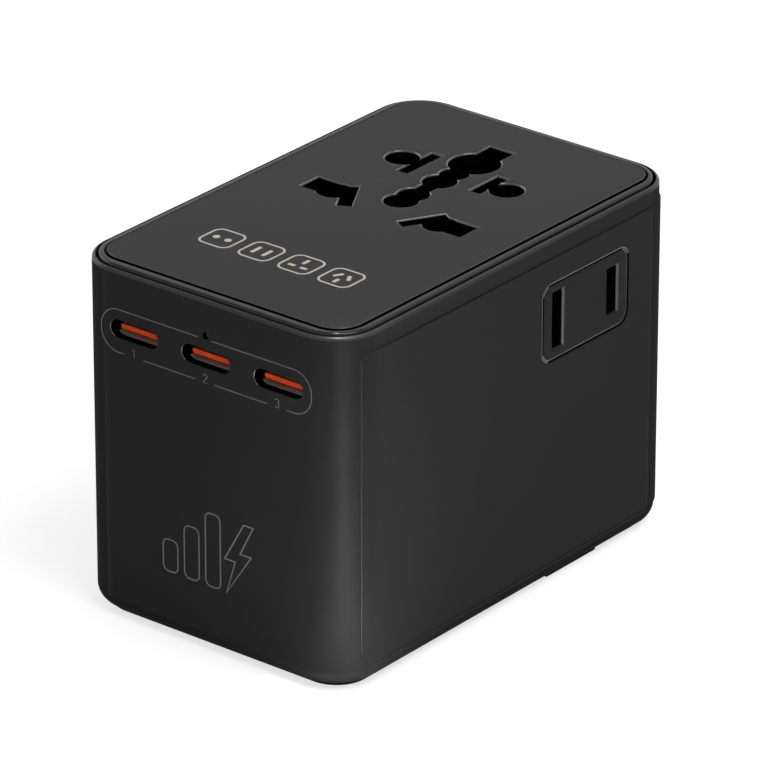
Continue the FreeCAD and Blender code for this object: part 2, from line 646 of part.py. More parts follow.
# Base cover with the pin openings, the drawer sleeve and the finger tab
cover_plate = shell_block("coverPlate", "coverInset + seam", "0", "coverThick")
cover_tab = block("coverTab", f"{right} - wrapProud - coverInset - coverTabReach", "outletY", "0",
                  "4 * coverTabReach - 2 * seam", "coverTabLong - 2 * seam", "coverThick")
sleeve_outside = block("sleeveOutside", "0", "drawerY", "0", "drawerLong + 2 * running + 2 * sleeveWall",
                       "drawerWide + 2 * running + 2 * sleeveWall", "sleeveTop")
cover_cuts = [
    block("drawerOpening", "0", "drawerY", "-1", "drawerLong + 2 * running", "drawerWide + 2 * running",
          "sleeveTop + 2"),
    block("earthOpening", "0", "ukPinRow + earthReach", "-1", "ukPinThick + 2 * pinGap",
          "ukEarthLong + 2 * pinGap", "coverThick + 2"),
]
head_cuts = []
screws = []
for side_x in (-1, 1):
    cover_cuts.append(block(f"ukOpening{side_x + 1}", f"{side_x} * ukPinX", "ukPinRow", "-1",
                            "ukPinWide + 2 * pinGap", "ukPinThick + 2 * pinGap", "coverThick + 2"))
    cover_cuts.append(rod(f"euOpening{side_x + 1}", f"{side_x} * euPinX", "euPinRow", "-1",
                          "euPinRadius + pinGap", "coverThick + 2"))
    cover_cuts.append(rod(f"usOpening{side_x + 1}", f"{side_x} * usBladeX", "usBladeRow", "-1",
                          "usPivotRadius + pinGap / 2", "coverThick + 2"))
    for side_y in (-1, 1):
        tag = f"{'L' if side_x < 0 else 'R'}{'F' if side_y < 0 else 'B'}"
        screw_x = f"{side_x} * ({shell_width} / 2 - bossInset)"
        screw_y = f"{shell_y} + {side_y} * ({shell_depth} / 2 - bossInset)"
        cover_cuts.append(rod(f"screwHole{tag}", screw_x, screw_y, "-1", "screwRadius + screwFit",
                              "coverThick + 2"))
        cover_cuts.append(rod(f"screwSeat{tag}", screw_x, screw_y, "-1", "screwHeadRadius + screwFit",
                              "screwHeadSink + screwHeadThick + 1"))
        head = rod(f"screwHead{tag}", screw_x, screw_y, "screwHeadSink", "screwHeadRadius", "screwHeadThick")
        shank = rod(f"screwShank{tag}", screw_x, screw_y, "screwHeadSink", "screwRadius", "screwLong")
        slots = [
            block(f"driveLong{tag}", screw_x, screw_y, "screwHeadSink - 1", "screwHeadRadius * 1.2",
                  "driveWide", "driveDeep + 1"),
            block(f"driveCross{tag}", screw_x, screw_y, "screwHeadSink - 1", "driveWide",
                  "screwHeadRadius * 1.2", "driveDeep + 1"),
        ]
        screws.append(cut(f"screw{tag}", fuse(f"screwBlank{tag}", [head, shank]), slots))
node("base_cover", cut("baseCover", fuse("coverBlank", [cover_plate, cover_tab, sleeve_outside]),
                       cover_cuts))
node("base_screws", group("baseScrews", screws))

# Ports: metal shell and tongue of each
for index in range(3):
    port_x = f"portPitch * ({index} - 1)"
    can = stadium(f"can{index}", port_x, f"{front} + portSink", "portLevel", "portShellWide",
                  "portShellLong", "portShellTall")
    throat = stadium(f"throat{index}", port_x, f"{front} + portSink - 1", "portLevel",
                     "portShellWide - 2 * portSheet", "portShellLong + 1 - portSheet",
                     "portShellTall - 2 * portSheet")
    node(f"usb_port_shell_{index + 1}", cut(f"portShell{index}", can, throat))
    node(f"usb_port_tongue_{index + 1}", rounded(
        f"portTongue{index}", port_x,
        f"{front} + (tongueSink + portSink + portShellLong - portSheet) / 2",
        "portLevel - tongueThick / 2", "tongueWide", "portSink + portShellLong - portSheet - tongueSink",
        "tongueThick", "tongueThick * 0.3", "Y"))
node("led_light_pipe", rod("ledLightPipe", "0", f"{front} + lightPipeSink", "ledLevel",
                           "lightPipeRadius", "lightPipeLong", "Y"))

# Charger boards and their pieces
board_front = "(boardBack - boardThick)"
node("main_board", box("mainBoard", "0 - boardHalf", board_front, "coverThick", "2 * boardHalf",
                       "boardThick", "boardTop - coverThick"))
node("usb_board", box("usbBoard", "0 - usbBoardHalf", f"{inner_front} + fit", "usbBoardBottom",
                      "2 * usbBoardHalf", f"{board_front} - {inner_front} - fit", "usbBoardThick"))
node("indicator_led", box("indicatorLed", "0 - ledChipWide / 2", f"{front} + lightPipeSink + lightPipeLong",
                          "portLevel + portShellTall / 2", "ledChipWide", "ledChipWide",
                          "ledLevel + lightPipeRadius - portLevel - portShellTall / 2"))
node("board_insulator", box("boardInsulator", "0 - boardHalf", "boardBack", "coverThick", "2 * boardHalf",
                            "sheetThick", "boardTop - coverThick"))
node("heat_spreader", box("heatSpreader", "0 - spreaderHalf", inner_front, "spreaderBottom",
                          "2 * spreaderHalf", "spreaderThick", "spreaderTall"))
core_blank = box("coreBlank", "0 - coreLong / 2", f"{board_front} - coreGap - coreDeep", "transformerBottom",
                 "coreLong", "coreDeep", "coreTall")
core_window = box("coreWindow", "0 - coreLong / 2 + coreLeg", f"{board_front} - coreGap - coreDeep - 1",
                  "transformerBottom + coreLeg", "coreLong - 2 * coreLeg", "coreDeep + 2",
                  "coreTall - 2 * coreLeg")
core_leg = block("coreMiddle", "0", f"{board_front} - coreGap - coreDeep / 2", "transformerBottom",
                 "2 * coreLeg", "coreDeep", "coreTall")
node("transformer_core", fuse("transformerCore", [cut("coreFrame", core_blank, core_window), core_leg]))
winding_blank = box("windingBlank", "0 - coreLong / 2 + coreLeg", f"{board_front} - windingDeep",
                    "transformerBottom + coreLeg", "coreLong - 2 * coreLeg", "windingDeep",
                    "coreTall - 2 * coreLeg")
winding_hole = block("windingHole", "0", f"{board_front} - coreGap - coreDeep / 2", "transformerBottom - 1",
                     "2 * coreLeg", "coreDeep", "coreTall + 2")
node("transformer_winding", cut("transformerWinding", winding_blank, winding_hole))
bulk = []
for index in range(int(number("(usbBoardBottom - bulkLevel + bulkRadius) / bulkPitch"))):
    bulk.append(rod(f"bulk{index}", "sideRoomX", f"{board_front} - bulkLong",
                    f"bulkLevel + {index} * bulkPitch", "bulkRadius", "bulkLong", "Y"))
node("bulk_capacitors", group("bulkCapacitors", bulk))
output = []
for index in range(int(number("(usbBoardBottom - outputLevel + outputRadius) / outputPitch"))):
    output.append(rod(f"output{index}", "0 - sideRoomX", f"{board_front} - outputLong",
                      f"outputLevel + {index} * outputPitch", "outputRadius", "outputLong", "Y"))
node("output_capacitors", group("outputCapacitors", output))
node("choke", cut("chokeRing", rod("chokeOutside", "0 - sideRoomX", f"{board_front} - chokeThick",
                                   "chokeLevel", "chokeRadius", "chokeThick", "Y"),
                  rod("chokeInside", "0 - sideRoomX", f"{board_front} - chokeThick - 1", "chokeLevel",
                      "chokeHole", "chokeThick + 2", "Y")))
node("power_chip", box("powerChip", "0 - chipWide / 2", f"{board_front} - chipThick",
                       "chipLevel - chipWide / 2", "chipWide", "chipThick", "chipWide"))

# Fuse drawer, fuse and clips
drawer_blank = block("drawerBlank", "0", "drawerY", "0", "drawerLong", "drawerWide", "drawerTall")
fuse_bed = rod("fuseBed", "0 - fuseLong / 2 - fuseSpare", "drawerY", "fuseLevel", "fuseRadius + fuseSpare",
               "fuseLong + 2 * fuseSpare", "X")
fuse_mouth = block("fuseMouth", "0", "drawerY", "fuseLevel", "fuseLong + 2 * fuseSpare",
                   "2 * fuseRadius + 2 * fuseSpare", "drawerTall")
finger_notch = rod("fingerNotch", "drawerLong / 2 - notchInset", "drawerY - drawerWide", "0", "notchRadius",
                   "2 * drawerWide", "Y")
node("fuse_drawer", cut("fuseDrawer", drawer_blank, [fuse_bed, fuse_mouth, finger_notch]))
node("fuse", rod("fuseBody", "0 - fuseLong / 2", "drawerY", "fuseLevel", "fuseRadius", "fuseLong", "X"))
clips = []
for side in (-1, 1):
    clips.append(box(f"fuseClip{side + 1}", f"{side} * fuseClipX - fuseClipWide / 2",
                     "drawerY - fuseClipReach",
                     "drawerTall + running", "fuseClipWide", f"{board_front} - drawerY + fuseClipReach",
                     "leafThick"))
node("fuse_clips", group("fuseClips", clips))

# Chassis deck and the posts that guide the plug carriages
carriage_rest = {"uk": "(carriageStop + ukTravel)", "eu": "(carriageStop + euTravel)",
                 "us": "(carriageStop + usTravel)"}
post_places = {
    "ukFront": ("ukArmX + ukArmWide / 2", "ukPinRow"),
    "ukBack": ("ukArmX + ukArmWide / 2", "ukPinRow + earthReach"),
    "euLeft": ("0 - euCarriageHalf + euPostInset", "euPinRow"),
    "euRight": ("euCarriageHalf - euPostInset", "euPinRow"),
    "usLeft": ("0 - usCarriageHalf + usPostInset", "usBladeRow"),
    "usRight": ("usCarriageHalf - usPostInset", "usBladeRow"),
}
posts = []
post_holes = {}
for tag, (post_x, post_y) in post_places.items():
    posts.append(rod(tag + "Post", post_x, post_y, "coverThick", "postRadius",
                     "deckBottom + postRoot - coverThick"))
    post_holes[tag] = rod(tag + "PostHole", post_x, post_y, "0", "postRadius + pivotFit", "overallHeight")
deck = box("deck", "0 - deckHalfLeft", "deckFront", "deckBottom", "deckHalfLeft + deckHalfRight",
           "deckBack - deckFront", "deckThick")
node("slide_chassis", fuse("slideChassis", [deck] + posts))

# Plug pins and blades
uk_rest = carriage_rest["uk"]
for side, name in ((-1, "neutral"), (1, "live")):
    pin_low = "tipLevel + ukEarthOut - ukPinOut"
    pin_tall = f"{uk_rest} + carriageThick + terminalLong - ({pin_low})"
    node(f"uk_{name}_pin", rounded(f"uk{name.title()}Pin", f"{side} * ukPinX", "ukPinRow", pin_low,
                                   "ukPinWide", "ukPinThick", pin_tall, "ukPinRound"))
node("uk_earth_pin", rounded("ukEarthPin", "0", "ukPinRow + earthReach", "tipLevel", "ukPinThick",
                             "ukEarthLong",
                             f"{uk_rest} + carriageThick + terminalLong - tipLevel", "ukPinRound"))
eu_rest = carriage_rest["eu"]
for side, name in ((-1, "left"), (1, "right")):
    shaft = rod(f"euShaft{name}", f"{side} * euPinX", "euPinRow", "tipLevel + euPinRadius", "euPinRadius",
                f"{eu_rest} + carriageThick + terminalLong - tipLevel - euPinRadius")
    ball = doc.addObject("Part::Sphere", f"euTip{name}")
    bind(ball, "Radius", "euPinRadius")
    place(ball, f"{side} * euPinX", "euPinRow", "tipLevel + euPinRadius")
    node(f"eu_pin_{name}", fuse(f"euPin{name}", [shaft, ball]))
us_rest = carriage_rest["us"]
for side, name in ((-1, "left"), (1, "right")):
    blade = block(f"usFlat{name}", f"{side} * usBladeX", "usBladeRow", "tipLevel", "usBladeThick",
                  "usBladeWide", f"{us_rest} - tipLevel + carriageThick")
    pivot = rod(f"usPivot{name}", f"{side} * usBladeX", "usBladeRow", us_rest, "usPivotRadius",
                "carriageThick")
    head = rod(f"usHead{name}", f"{side} * usBladeX", "usBladeRow", f"{us_rest} + carriageThick",
               "usPivotHead", "leafThick")
    node(f"us_blade_{name}", fuse(f"usBlade{name}", [blade, pivot, head]))


# Plug carriages, each with an upright tab and a neck to its knob
def left_tab(prefix, row, level, arm_end):
    tab_x = f"{inner_left} + running"
    return [
        box(prefix + "Arm", tab_x, f"{row} - tabWide / 2", level, f"({arm_end}) - ({tab_x})", "tabWide",
            "carriageThick"),
        box(prefix + "Tab", tab_x, f"{row} - tabWide / 2", level, "tabThick", "tabWide",
            f"knobLevel + neckTall / 2 - ({level})"),
        box(prefix + "Neck", skin_left, f"{row} - neckWide / 2", "knobLevel - neckTall / 2",
            f"({tab_x}) - {skin_left}", "neckWide", "neckTall"),
    ]


eu_pieces = [block("euBar", "0", "euPinRow", eu_rest, "2 * euCarriageHalf", "euCarriageDeep",
                   "carriageThick")]
eu_pieces += left_tab("eu", "euPinRow", eu_rest, "0 - euCarriageHalf + 1")
eu_cuts = [post_holes["euLeft"], post_holes["euRight"]]
for side in (-1, 1):
    eu_cuts.append(rod(f"euSocket{side + 1}", f"{side} * euPinX", "euPinRow", f"{eu_rest} - 1",
                       "euPinRadius", "carriageThick + 2"))
node("eu_carriage", cut("euCarriage", fuse("euBlank", eu_pieces), eu_cuts))

us_pieces = [block("usBar", "0", "usBladeRow", us_rest, "2 * usCarriageHalf", "usCarriageDeep",
                   "carriageThick")]
us_pieces += left_tab("us", "usBladeRow", us_rest, "0 - usCarriageHalf + 1")
us_cuts = [post_holes["usLeft"], post_holes["usRight"]]
for side in (-1, 1):
    us_cuts.append(rod(f"usSocket{side + 1}", f"{side} * usBladeX", "usBladeRow", f"{us_rest} - 1",
                       "usPivotRadius + pivotFit", "carriageThick + 2"))
node("us_carriage", cut("usCarriage", fuse("usBlank", us_pieces), us_cuts))

row_front = "(ukPinRow - ukPinThick / 2 - ukMargin)"
earth_back = "(ukPinRow + earthReach + ukEarthLong / 2 + ukMargin)"
earth_front = "(ukPinRow + earthReach - ukEarthLong / 2 - ukMargin)"
tab_back = f"({inner_back} - running)"
uk_pieces = [
    box("ukBar", "0 - ukPinX - ukPinWide / 2 - ukMargin", row_front, uk_rest,
        "ukPinX + ukPinWide / 2 + ukMargin + ukArmX + ukArmWide", "ukPinThick + 2 * ukMargin",
        "carriageThick"),
    box("ukArm", "ukArmX", row_front, uk_rest, "ukArmWide", f"{earth_back} - {row_front}", "carriageThick"),
    box("ukBackBar", "0 - ukPinThick / 2 - ukMargin", earth_front, uk_rest,
        "ukPinThick / 2 + ukMargin + ukArmX + ukArmWide", f"{earth_back} - {earth_front}", "carriageThick"),
    box("ukTail", "0 - tabWide / 2", f"{earth_back} - 1", uk_rest, "tabWide",
        f"{tab_back} - {earth_back} + 1", "carriageThick"),
    box("ukTab", "0 - tabWide / 2", f"{tab_back} - tabThick", uk_rest, "tabWide", "tabThick",
        f"knobLevel + neckTall / 2 - {uk_rest}"),
    box("ukNeck", "0 - neckWide / 2", tab_back, "knobLevel - neckTall / 2", "neckWide",
        f"{skin_back} - {tab_back}", "neckTall"),
]
uk_cuts = [post_holes["ukFront"], post_holes["ukBack"], nodes["uk_live_pin"], nodes["uk_neutral_pin"],
           nodes["uk_earth_pin"]]
node("uk_carriage", cut("ukCarriage", fuse("ukBlank", uk_pieces), uk_cuts))


# Slider knobs: a pad with grip grooves, flush with the wrap
def flat_sketch(body, name, half_wide, low, high, lift):
    """Rectangle on the upright plane of a body, centred in X."""
    sketch = body.newObject("Sketcher::SketchObject", name)
    plane = next(item for item in body.Origin.OriginFeatures if item.Role == "XZ_Plane")
    sketch.AttachmentSupport = [(plane, "")]
    sketch.MapMode = "FlatFace"
    sketch.AttachmentOffset = FreeCAD.Placement(FreeCAD.Vector(0, 0, lift), FreeCAD.Rotation())
    corners = [(-half_wide, low), (half_wide, low), (half_wide, high), (-half_wide, high)]
    for index in range(4):
        first, second = corners[index], corners[(index + 1) % 4]
        sketch.addGeometry(Part.LineSegment(FreeCAD.Vector(*first, 0), FreeCAD.Vector(*second, 0)), False)
    for index in range(4):
        sketch.addConstraint(Sketcher.Constraint("Coincident", index, 2, (index + 1) % 4, 1))
        sketch.addConstraint(Sketcher.Constraint("Vertical" if index % 2 else "Horizontal", index))
    return sketch


def knob(name, x, y, turn):
    body = doc.addObject("PartDesign::Body", name)
    thick, deep = number("knobThick"), number("gripDeep")
    half, tall = number("knobWide") / 2, number("knobTall") / 2
    outline = flat_sketch(body, name + "Outline", half, -tall, tall, 0)
    pad = body.newObject("PartDesign::Pad", name + "Pad")
    pad.Profile = outline
    bind(pad, "Length", "knobThick")
    doc.recompute()
    corners = []
    for index, edge in enumerate(pad.Shape.Edges, 1):
        run = edge.Vertexes[1].Point - edge.Vertexes[0].Point
        if abs(run.x) < 1e-6 and abs(run.z) < 1e-6:
            corners.append(f"Edge{index}")
    soft = body.newObject("PartDesign::Fillet", name + "Corners")
    soft.Base = (pad, corners)
    bind(soft, "Radius", "knobRound")
    count = 5
    low = -(count - 1) / 2 * number("gripPitch")
    grip = number("gripWide") / 2
    groove = flat_sketch(body, name + "Grip", half - number("gripMargin"), low - grip, low + grip, thick)
    pocket = body.newObject("PartDesign::Pocket", name + "GripPocket")
    pocket.Profile = groove
    bind(pocket, "Length", "gripDeep")
    doc.recompute()
    full = soft.Shape.Volume
    pattern = body.newObject("PartDesign::LinearPattern", name + "GripPattern")
    pattern.Originals = [pocket]
    pattern.Direction = (groove, ["V_Axis"])
    bind(pattern, "Length", f"{count - 1} * gripPitch")
    pattern.Occurrences = count
    body.Tip = pattern
    body.Placement.Rotation = FreeCAD.Rotation(FreeCAD.Vector(0, 0, 1), turn)
    place(body, x, y, "knobLevel")
    doc.recompute()
    groove_volume = count * deep * 2 * grip * 2 * (half - number("gripMargin"))
    if abs(full - body.Shape.Volume - groove_volume) > 0.01:
        raise RuntimeError(name + " has lost a grip groove")
    return body


node("eu_slider_knob", knob("euKnob", skin_left, "euPinRow", -90))
node("us_slider_knob", knob("usKnob", skin_left, "usBladeRow", -90))
node("uk_slider_knob", knob("ukKnob", "0", skin_back, 180))

# Contact carrier with three wells, open at the top
core_bottom = "(deckBottom + deckThick)"
core_solid = box("coreSolid", "0 - coreHalf", "coreFront", core_bottom, "2 * coreHalf",
                 "deckBack - coreFront", f"coreTop - {core_bottom}")
well_deep = "coreTop - coreFloor"
core_cuts = [
    box("earthWell", "0 - earthWellHalf", "coreFront + coreWall + earthWellShift", "wellFloor",
        "2 * earthWellHalf", "deckBack - coreFront - 2 * coreWall - earthWellShift", well_deep),
]
for side in (-1, 1):
    low_x = "wellInner" if side > 0 else "0 - coreHalf + coreWall"
    core_cuts.append(box(f"sideWell{side + 1}", low_x, "coreFront + coreWall", "wellFloor",
                         "coreHalf - coreWall - wellInner", "wellBack - coreFront - coreWall", well_deep))
side_clip_tall = "(outletLevel + outletSlotFront / 2 - wellFloor - leafThick)"
for side in (-1, 1):
    core_cuts.append(block(f"sideNotch{side + 1}", "coreHalf", f"outletY + {side} * outletPitch / 2",
                           "wellFloor + leafThick", "4 * coreWall", "outletSlotWide + 4 * seam",
                           side_clip_tall))
node("socket_core", cut("socketCore", core_solid, core_cuts))


# Contacts: folded brass strips with pairs of leaves
def leaf_pair(name, x, y, wide, gap, along):
    """Two upright leaves with a gap between them; wide is their length, along X or Y."""
    tall = "leafTop - wellFloor"
    pieces = []
    for side in (-1, 1):
        if along == "X":
            pieces.append(block(f"{name}{side + 1}", x, f"{y} + {side} * (({gap}) / 2 + leafThick / 2)",
                                "wellFloor", wide, "leafThick", tall))
        else:
            pieces.append(block(f"{name}{side + 1}", f"{x} + {side} * (({gap}) / 2 + leafThick / 2)", y,
                                "wellFloor", "leafThick", wide, tall))
    return pieces


pole_x = "((euX + euRadius + barX - barWide / 2) / 2)"
pole_gap = "(euX + euRadius - barX + barWide / 2 + 2 * leafSpare)"
for side, name in ((-1, "neutral"), (1, "live")):
    strip_x = f"{side} * bulgeX"
    pieces = [block(name + "Strip", strip_x, "(coreFront + wellBack) / 2", "wellFloor", "stripWide",
                    "wellBack - coreFront - 2 * coreWall - 2 * stripGap", "stripThick")]
    pieces += leaf_pair(name + "UkLeaf", f"{side} * ukSlotX", "ukRow", "ukPinWide", "ukSlotTall", "X")
    pieces.append(block(name + "UkFoot", f"{side} * ukSlotX", "ukRow", "wellFloor", "ukPinWide",
                        "ukSlotTall + 2 * leafThick", "stripThick"))
    pieces += leaf_pair(name + "EuLeaf", f"{side} * {pole_x}", "euRow", "2 * euRadius", pole_gap, "Y")
    pieces.append(block(name + "EuFoot", f"{side} * {pole_x}", "euRow", "wellFloor",
                        f"{pole_gap} + 2 * leafThick", "2 * euRadius", "stripThick"))
    node(f"{name}_contact", fuse(name + "Contact", pieces))
earth_row = "(ukRow + earthReach)"
earth_pieces = [box("earthStrip", "0 - earthWide / 2", "earthFifthAt", "wellFloor", "earthWide",
                    f"{earth_row} + earthLeafLong / 2 - earthFifthAt", "stripThick")]
earth_pieces += leaf_pair("earthLeaf", "0", earth_row, "earthLeafLong", "earthWide", "Y")
earth_pieces.append(block("earthFoot", "0", earth_row, "wellFloor", "earthWide + 2 * leafThick",
                          "earthLeafLong", "stripThick"))
node("earth_contact", fuse("earthContact", earth_pieces))

# Feed strips that the drawn-out carriages touch
feed_tall = f"deckBottom - {floor_top}"
node("live_feed_strip", box("liveFeed", "deckHalfRight - leafThick", "0", floor_top, "leafThick",
                            "liveFeedLong", feed_tall))
node("neutral_feed_strip", box("neutralFeed", "0 - deckHalfLeft", "ukPinRow - neutralFeedLong / 2",
                               "coverThick", "leafThick", "neutralFeedLong", "deckBottom - coverThick"))

# Side outlet: insert with two slots, and a clip behind each slot
insert_face = f"({right} - outletSink)"
insert_solid = rounded("insertSolid", f"{insert_face} - outletDeep / 2", "outletY",
                       "outletLevel - outletTall / 2",
                       "outletDeep", "outletLong", "outletTall", "outletRound", "X")
insert_cuts = []
for side, tall in ((-1, "outletSlotFront"), (1, "outletSlotRear")):
    insert_cuts.append(block(f"outletSlot{side + 1}", insert_face, f"outletY + {side} * outletPitch / 2",
                             f"outletLevel - {tall} / 2", "4 * outletDeep", "outletSlotWide", tall))
node("side_outlet_insert", cut("sideOutletInsert", insert_solid, insert_cuts))
clip_x = f"({insert_face} - outletDeep)"
for side, name in ((-1, "front"), (1, "rear")):
    row = f"outletY + {side} * outletPitch / 2"
    long = f"{clip_x} - coreHalf"
    pieces = []
    for hand in (-1, 1):
        pieces.append(box(f"sideLeaf{name}{hand + 1}", "coreHalf",
                          f"{row} + {hand} * (outletSlotWide / 2 + leafThick / 2) - leafThick / 2",
                          "wellFloor + leafThick", long, "leafThick", side_clip_tall))
    pieces.append(box(f"sideWeb{name}", "coreHalf", f"{row} - outletSlotWide / 2 - leafThick", "wellFloor",
                      long, "outletSlotWide + 2 * leafThick", "leafThick"))
    node(f"side_contact_{name}", fuse(f"sideContact{name}", pieces))

# Socket shutter: a ladder-shaped slider under the face plate
bar_long = "(slantLong + shutterLineSpare)"
round_front = "(euRow - barLongLeft / 2 - shutterSpare)"
round_long = "(barLongLeft + 2 * shutterSpare)"
wing = "shutterHalf - shutterInner"
shutter_pieces = []
for side in (-1, 1):
    low_x = "shutterInner" if side > 0 else "0 - shutterHalf"
    shutter_pieces.append(box(f"shutterLine{side + 1}", low_x, bar_front, "shutterLow", wing, bar_long,
                              "shutterThick"))
    shutter_pieces.append(box(f"shutterRound{side + 1}", low_x, round_front, "shutterLow", wing, round_long,
                              "shutterThick"))
    rail_x = "shutterHalf - shutterRail" if side > 0 else "0 - shutterHalf"
    shutter_pieces.append(box(f"shutterRail{side + 1}", rail_x, bar_front, "shutterLow", "shutterRail",
                              f"{round_front} + {round_long} - {bar_front}", "shutterThick"))
shutter_pieces.append(box("shutterBridge", "0 - shutterHalf", spring_end, "shutterLow", "2 * shutterHalf",
                          "bridgeWide + shutterSpare", "shutterThick"))
node("socket_shutter", fuse("socketShutter", shutter_pieces))


def check_all():
    """Stop if any object has failed or any node's solid is broken."""
    doc.recompute()
    for item in doc.Objects:
        if "Invalid" in item.State or "Error" in item.State:
            raise RuntimeError(f"{item.Name} has failed: {item.State}")
    for name, item in nodes.items():
        if item.Shape.isNull() or not item.Shape.isValid() or not item.Shape.Solids:
            raise RuntimeError(f"{name} has no sound solid")


check_all()
for name, item in nodes.items():
    item.Shape.exportStep(f"parts/{name}.step")
    print(f"{name}: {len(item.Shape.Solids)} solids, {item.Shape.Volume:.1f} mm3")
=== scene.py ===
import bpy
import bmesh
import json
import math
from mathutils import Matrix, Vector


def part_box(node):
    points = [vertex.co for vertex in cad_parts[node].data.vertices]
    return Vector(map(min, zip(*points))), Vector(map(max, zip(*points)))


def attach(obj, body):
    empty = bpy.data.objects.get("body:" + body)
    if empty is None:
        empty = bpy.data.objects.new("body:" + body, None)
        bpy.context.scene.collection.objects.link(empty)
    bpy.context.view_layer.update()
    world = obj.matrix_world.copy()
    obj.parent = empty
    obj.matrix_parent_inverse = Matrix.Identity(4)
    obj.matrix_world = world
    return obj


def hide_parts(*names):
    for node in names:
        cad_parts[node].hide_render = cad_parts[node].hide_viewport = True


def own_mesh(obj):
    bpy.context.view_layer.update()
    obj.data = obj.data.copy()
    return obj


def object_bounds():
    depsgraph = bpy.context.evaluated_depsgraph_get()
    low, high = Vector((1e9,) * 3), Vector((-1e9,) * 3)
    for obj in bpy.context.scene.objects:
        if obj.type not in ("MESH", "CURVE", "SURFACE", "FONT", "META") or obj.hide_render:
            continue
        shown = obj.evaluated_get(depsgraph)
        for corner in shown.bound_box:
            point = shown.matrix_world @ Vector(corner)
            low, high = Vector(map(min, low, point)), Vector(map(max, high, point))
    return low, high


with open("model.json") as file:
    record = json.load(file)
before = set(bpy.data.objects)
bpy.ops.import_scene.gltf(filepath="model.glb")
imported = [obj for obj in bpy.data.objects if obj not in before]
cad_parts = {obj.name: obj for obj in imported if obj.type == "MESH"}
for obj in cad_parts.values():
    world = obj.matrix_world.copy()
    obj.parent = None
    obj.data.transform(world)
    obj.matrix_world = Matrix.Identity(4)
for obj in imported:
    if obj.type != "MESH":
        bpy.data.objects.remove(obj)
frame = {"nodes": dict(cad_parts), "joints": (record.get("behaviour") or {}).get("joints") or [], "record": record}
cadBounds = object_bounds()
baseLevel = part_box("base_cover")[0].z
mm = 0.001
merge = 1e-7                  # points closer than this are one
above = 1 * mm                # a cutting tool starts this far outside the face
print("frame loaded with", len(frame["nodes"]), "nodes")


# Outlines: closed lists of (u, v), counter-clockwise round the material and clockwise round a hole
def roundedRect(halfU, halfV, radius, centre=(0.0, 0.0), steps=16):
    points = []
    for corner, (signU, signV) in enumerate(((1, -1), (1, 1), (-1, 1), (-1, -1))):
        for step in range(steps + 1):
            angle = math.radians(-90 + 90 * corner + 90 * step / steps)
            points.append((centre[0] + signU * (halfU - radius) + radius * math.cos(angle),
                           centre[1] + signV * (halfV - radius) + radius * math.sin(angle)))
    return points


def rectangle(halfU, halfV, centre):
    return [(centre[0] + signU * halfU, centre[1] + signV * halfV)
            for signU, signV in ((-1, -1), (1, -1), (1, 1), (-1, 1))]


def circle(radius, centre, steps=48):
    return [(centre[0] + radius * math.cos(2 * math.pi * i / steps),
             centre[1] + radius * math.sin(2 * math.pi * i / steps)) for i in range(steps)]


def inset(loop, amount, mitreLimit=0.3):
    # moves a loop to its left, into the material, with mitred corners
    moved = []
    count = len(loop)
    for i in range(count):
        before, here, after = (Vector(loop[(i + k) % count]) for k in (-1, 0, 1))
        first, second = (here - before).normalized(), (after - here).normalized()
        normalFirst = Vector((-first.y, first.x))
        normalSecond = Vector((-second.y, second.x))
        middle = normalFirst + normalSecond
        middle = middle.normalized() if middle.length > merge else normalFirst
        share = max(mitreLimit, middle.dot(normalSecond))
        moved.append(tuple(here + middle * (amount / share)))
    return moved


def ribbon(points, width, closed=False):
    # loops of a line drawn with a pen of that width
    half = width / 2
    if closed:
        return [inset(points, -half), list(reversed(inset(points, half)))]
    left, right = [], []
    for i, here in enumerate(points):
        ahead = Vector(points[min(i + 1, len(points) - 1)]) - Vector(points[max(i - 1, 0)])
        side = Vector((-ahead.y, ahead.x)).normalized() * half
        left.append(tuple(Vector(here) + side))
        right.append(tuple(Vector(here) - side))
    return [right + list(reversed(left))]


def arc(centre, radius, start, end, steps=12):
    return [(centre[0] + radius * math.cos(math.radians(start + (end - start) * i / steps)),
             centre[1] + radius * math.sin(math.radians(start + (end - start) * i / steps)))
            for i in range(steps + 1)]


# Places: each turns (u, v, depth below the face) into a point
def onTop(level):
    return lambda u, v, depth: Vector((u, v, level - depth))


def onFront(level):
    return lambda u, v, depth: Vector((u, level + depth, v))


def onRight(level):
    return lambda u, v, depth: Vector((level - depth, u, v))


def onLeft(level):
    return lambda u, v, depth: Vector((level + depth, -u, v))


def onBack(level):
    return lambda u, v, depth: Vector((-u, level - depth, v))


# Meshes
def makeObject(name, data):
    piece = bpy.data.objects.new(name, data)
    bpy.context.scene.collection.objects.link(piece)
    return piece


def fromBmesh(name, bm):
    bmesh.ops.remove_doubles(bm, verts=bm.verts, dist=merge)
    bmesh.ops.recalc_face_normals(bm, faces=bm.faces)
    mesh = bpy.data.meshes.new(name)
    bm.to_mesh(mesh)
    bm.free()
    return makeObject(name, mesh)


def skin(bm, rings, closed=False):
    # joins equal rings of points, and the last to the first if closed
    for ring, other in zip(rings, rings[1:] + (rings[:1] if closed else [])):
        for k in range(len(ring)):
            after = (k + 1) % len(ring)
            bm.faces.new((ring[k], ring[after], other[after], other[k]))


def sweep(name, rings):
    # a solid frame from a closed chain of rings
    bm = bmesh.new()
    skin(bm, [[bm.verts.new(point) for point in ring] for ring in rings], True)
    return fromBmesh(name, bm)


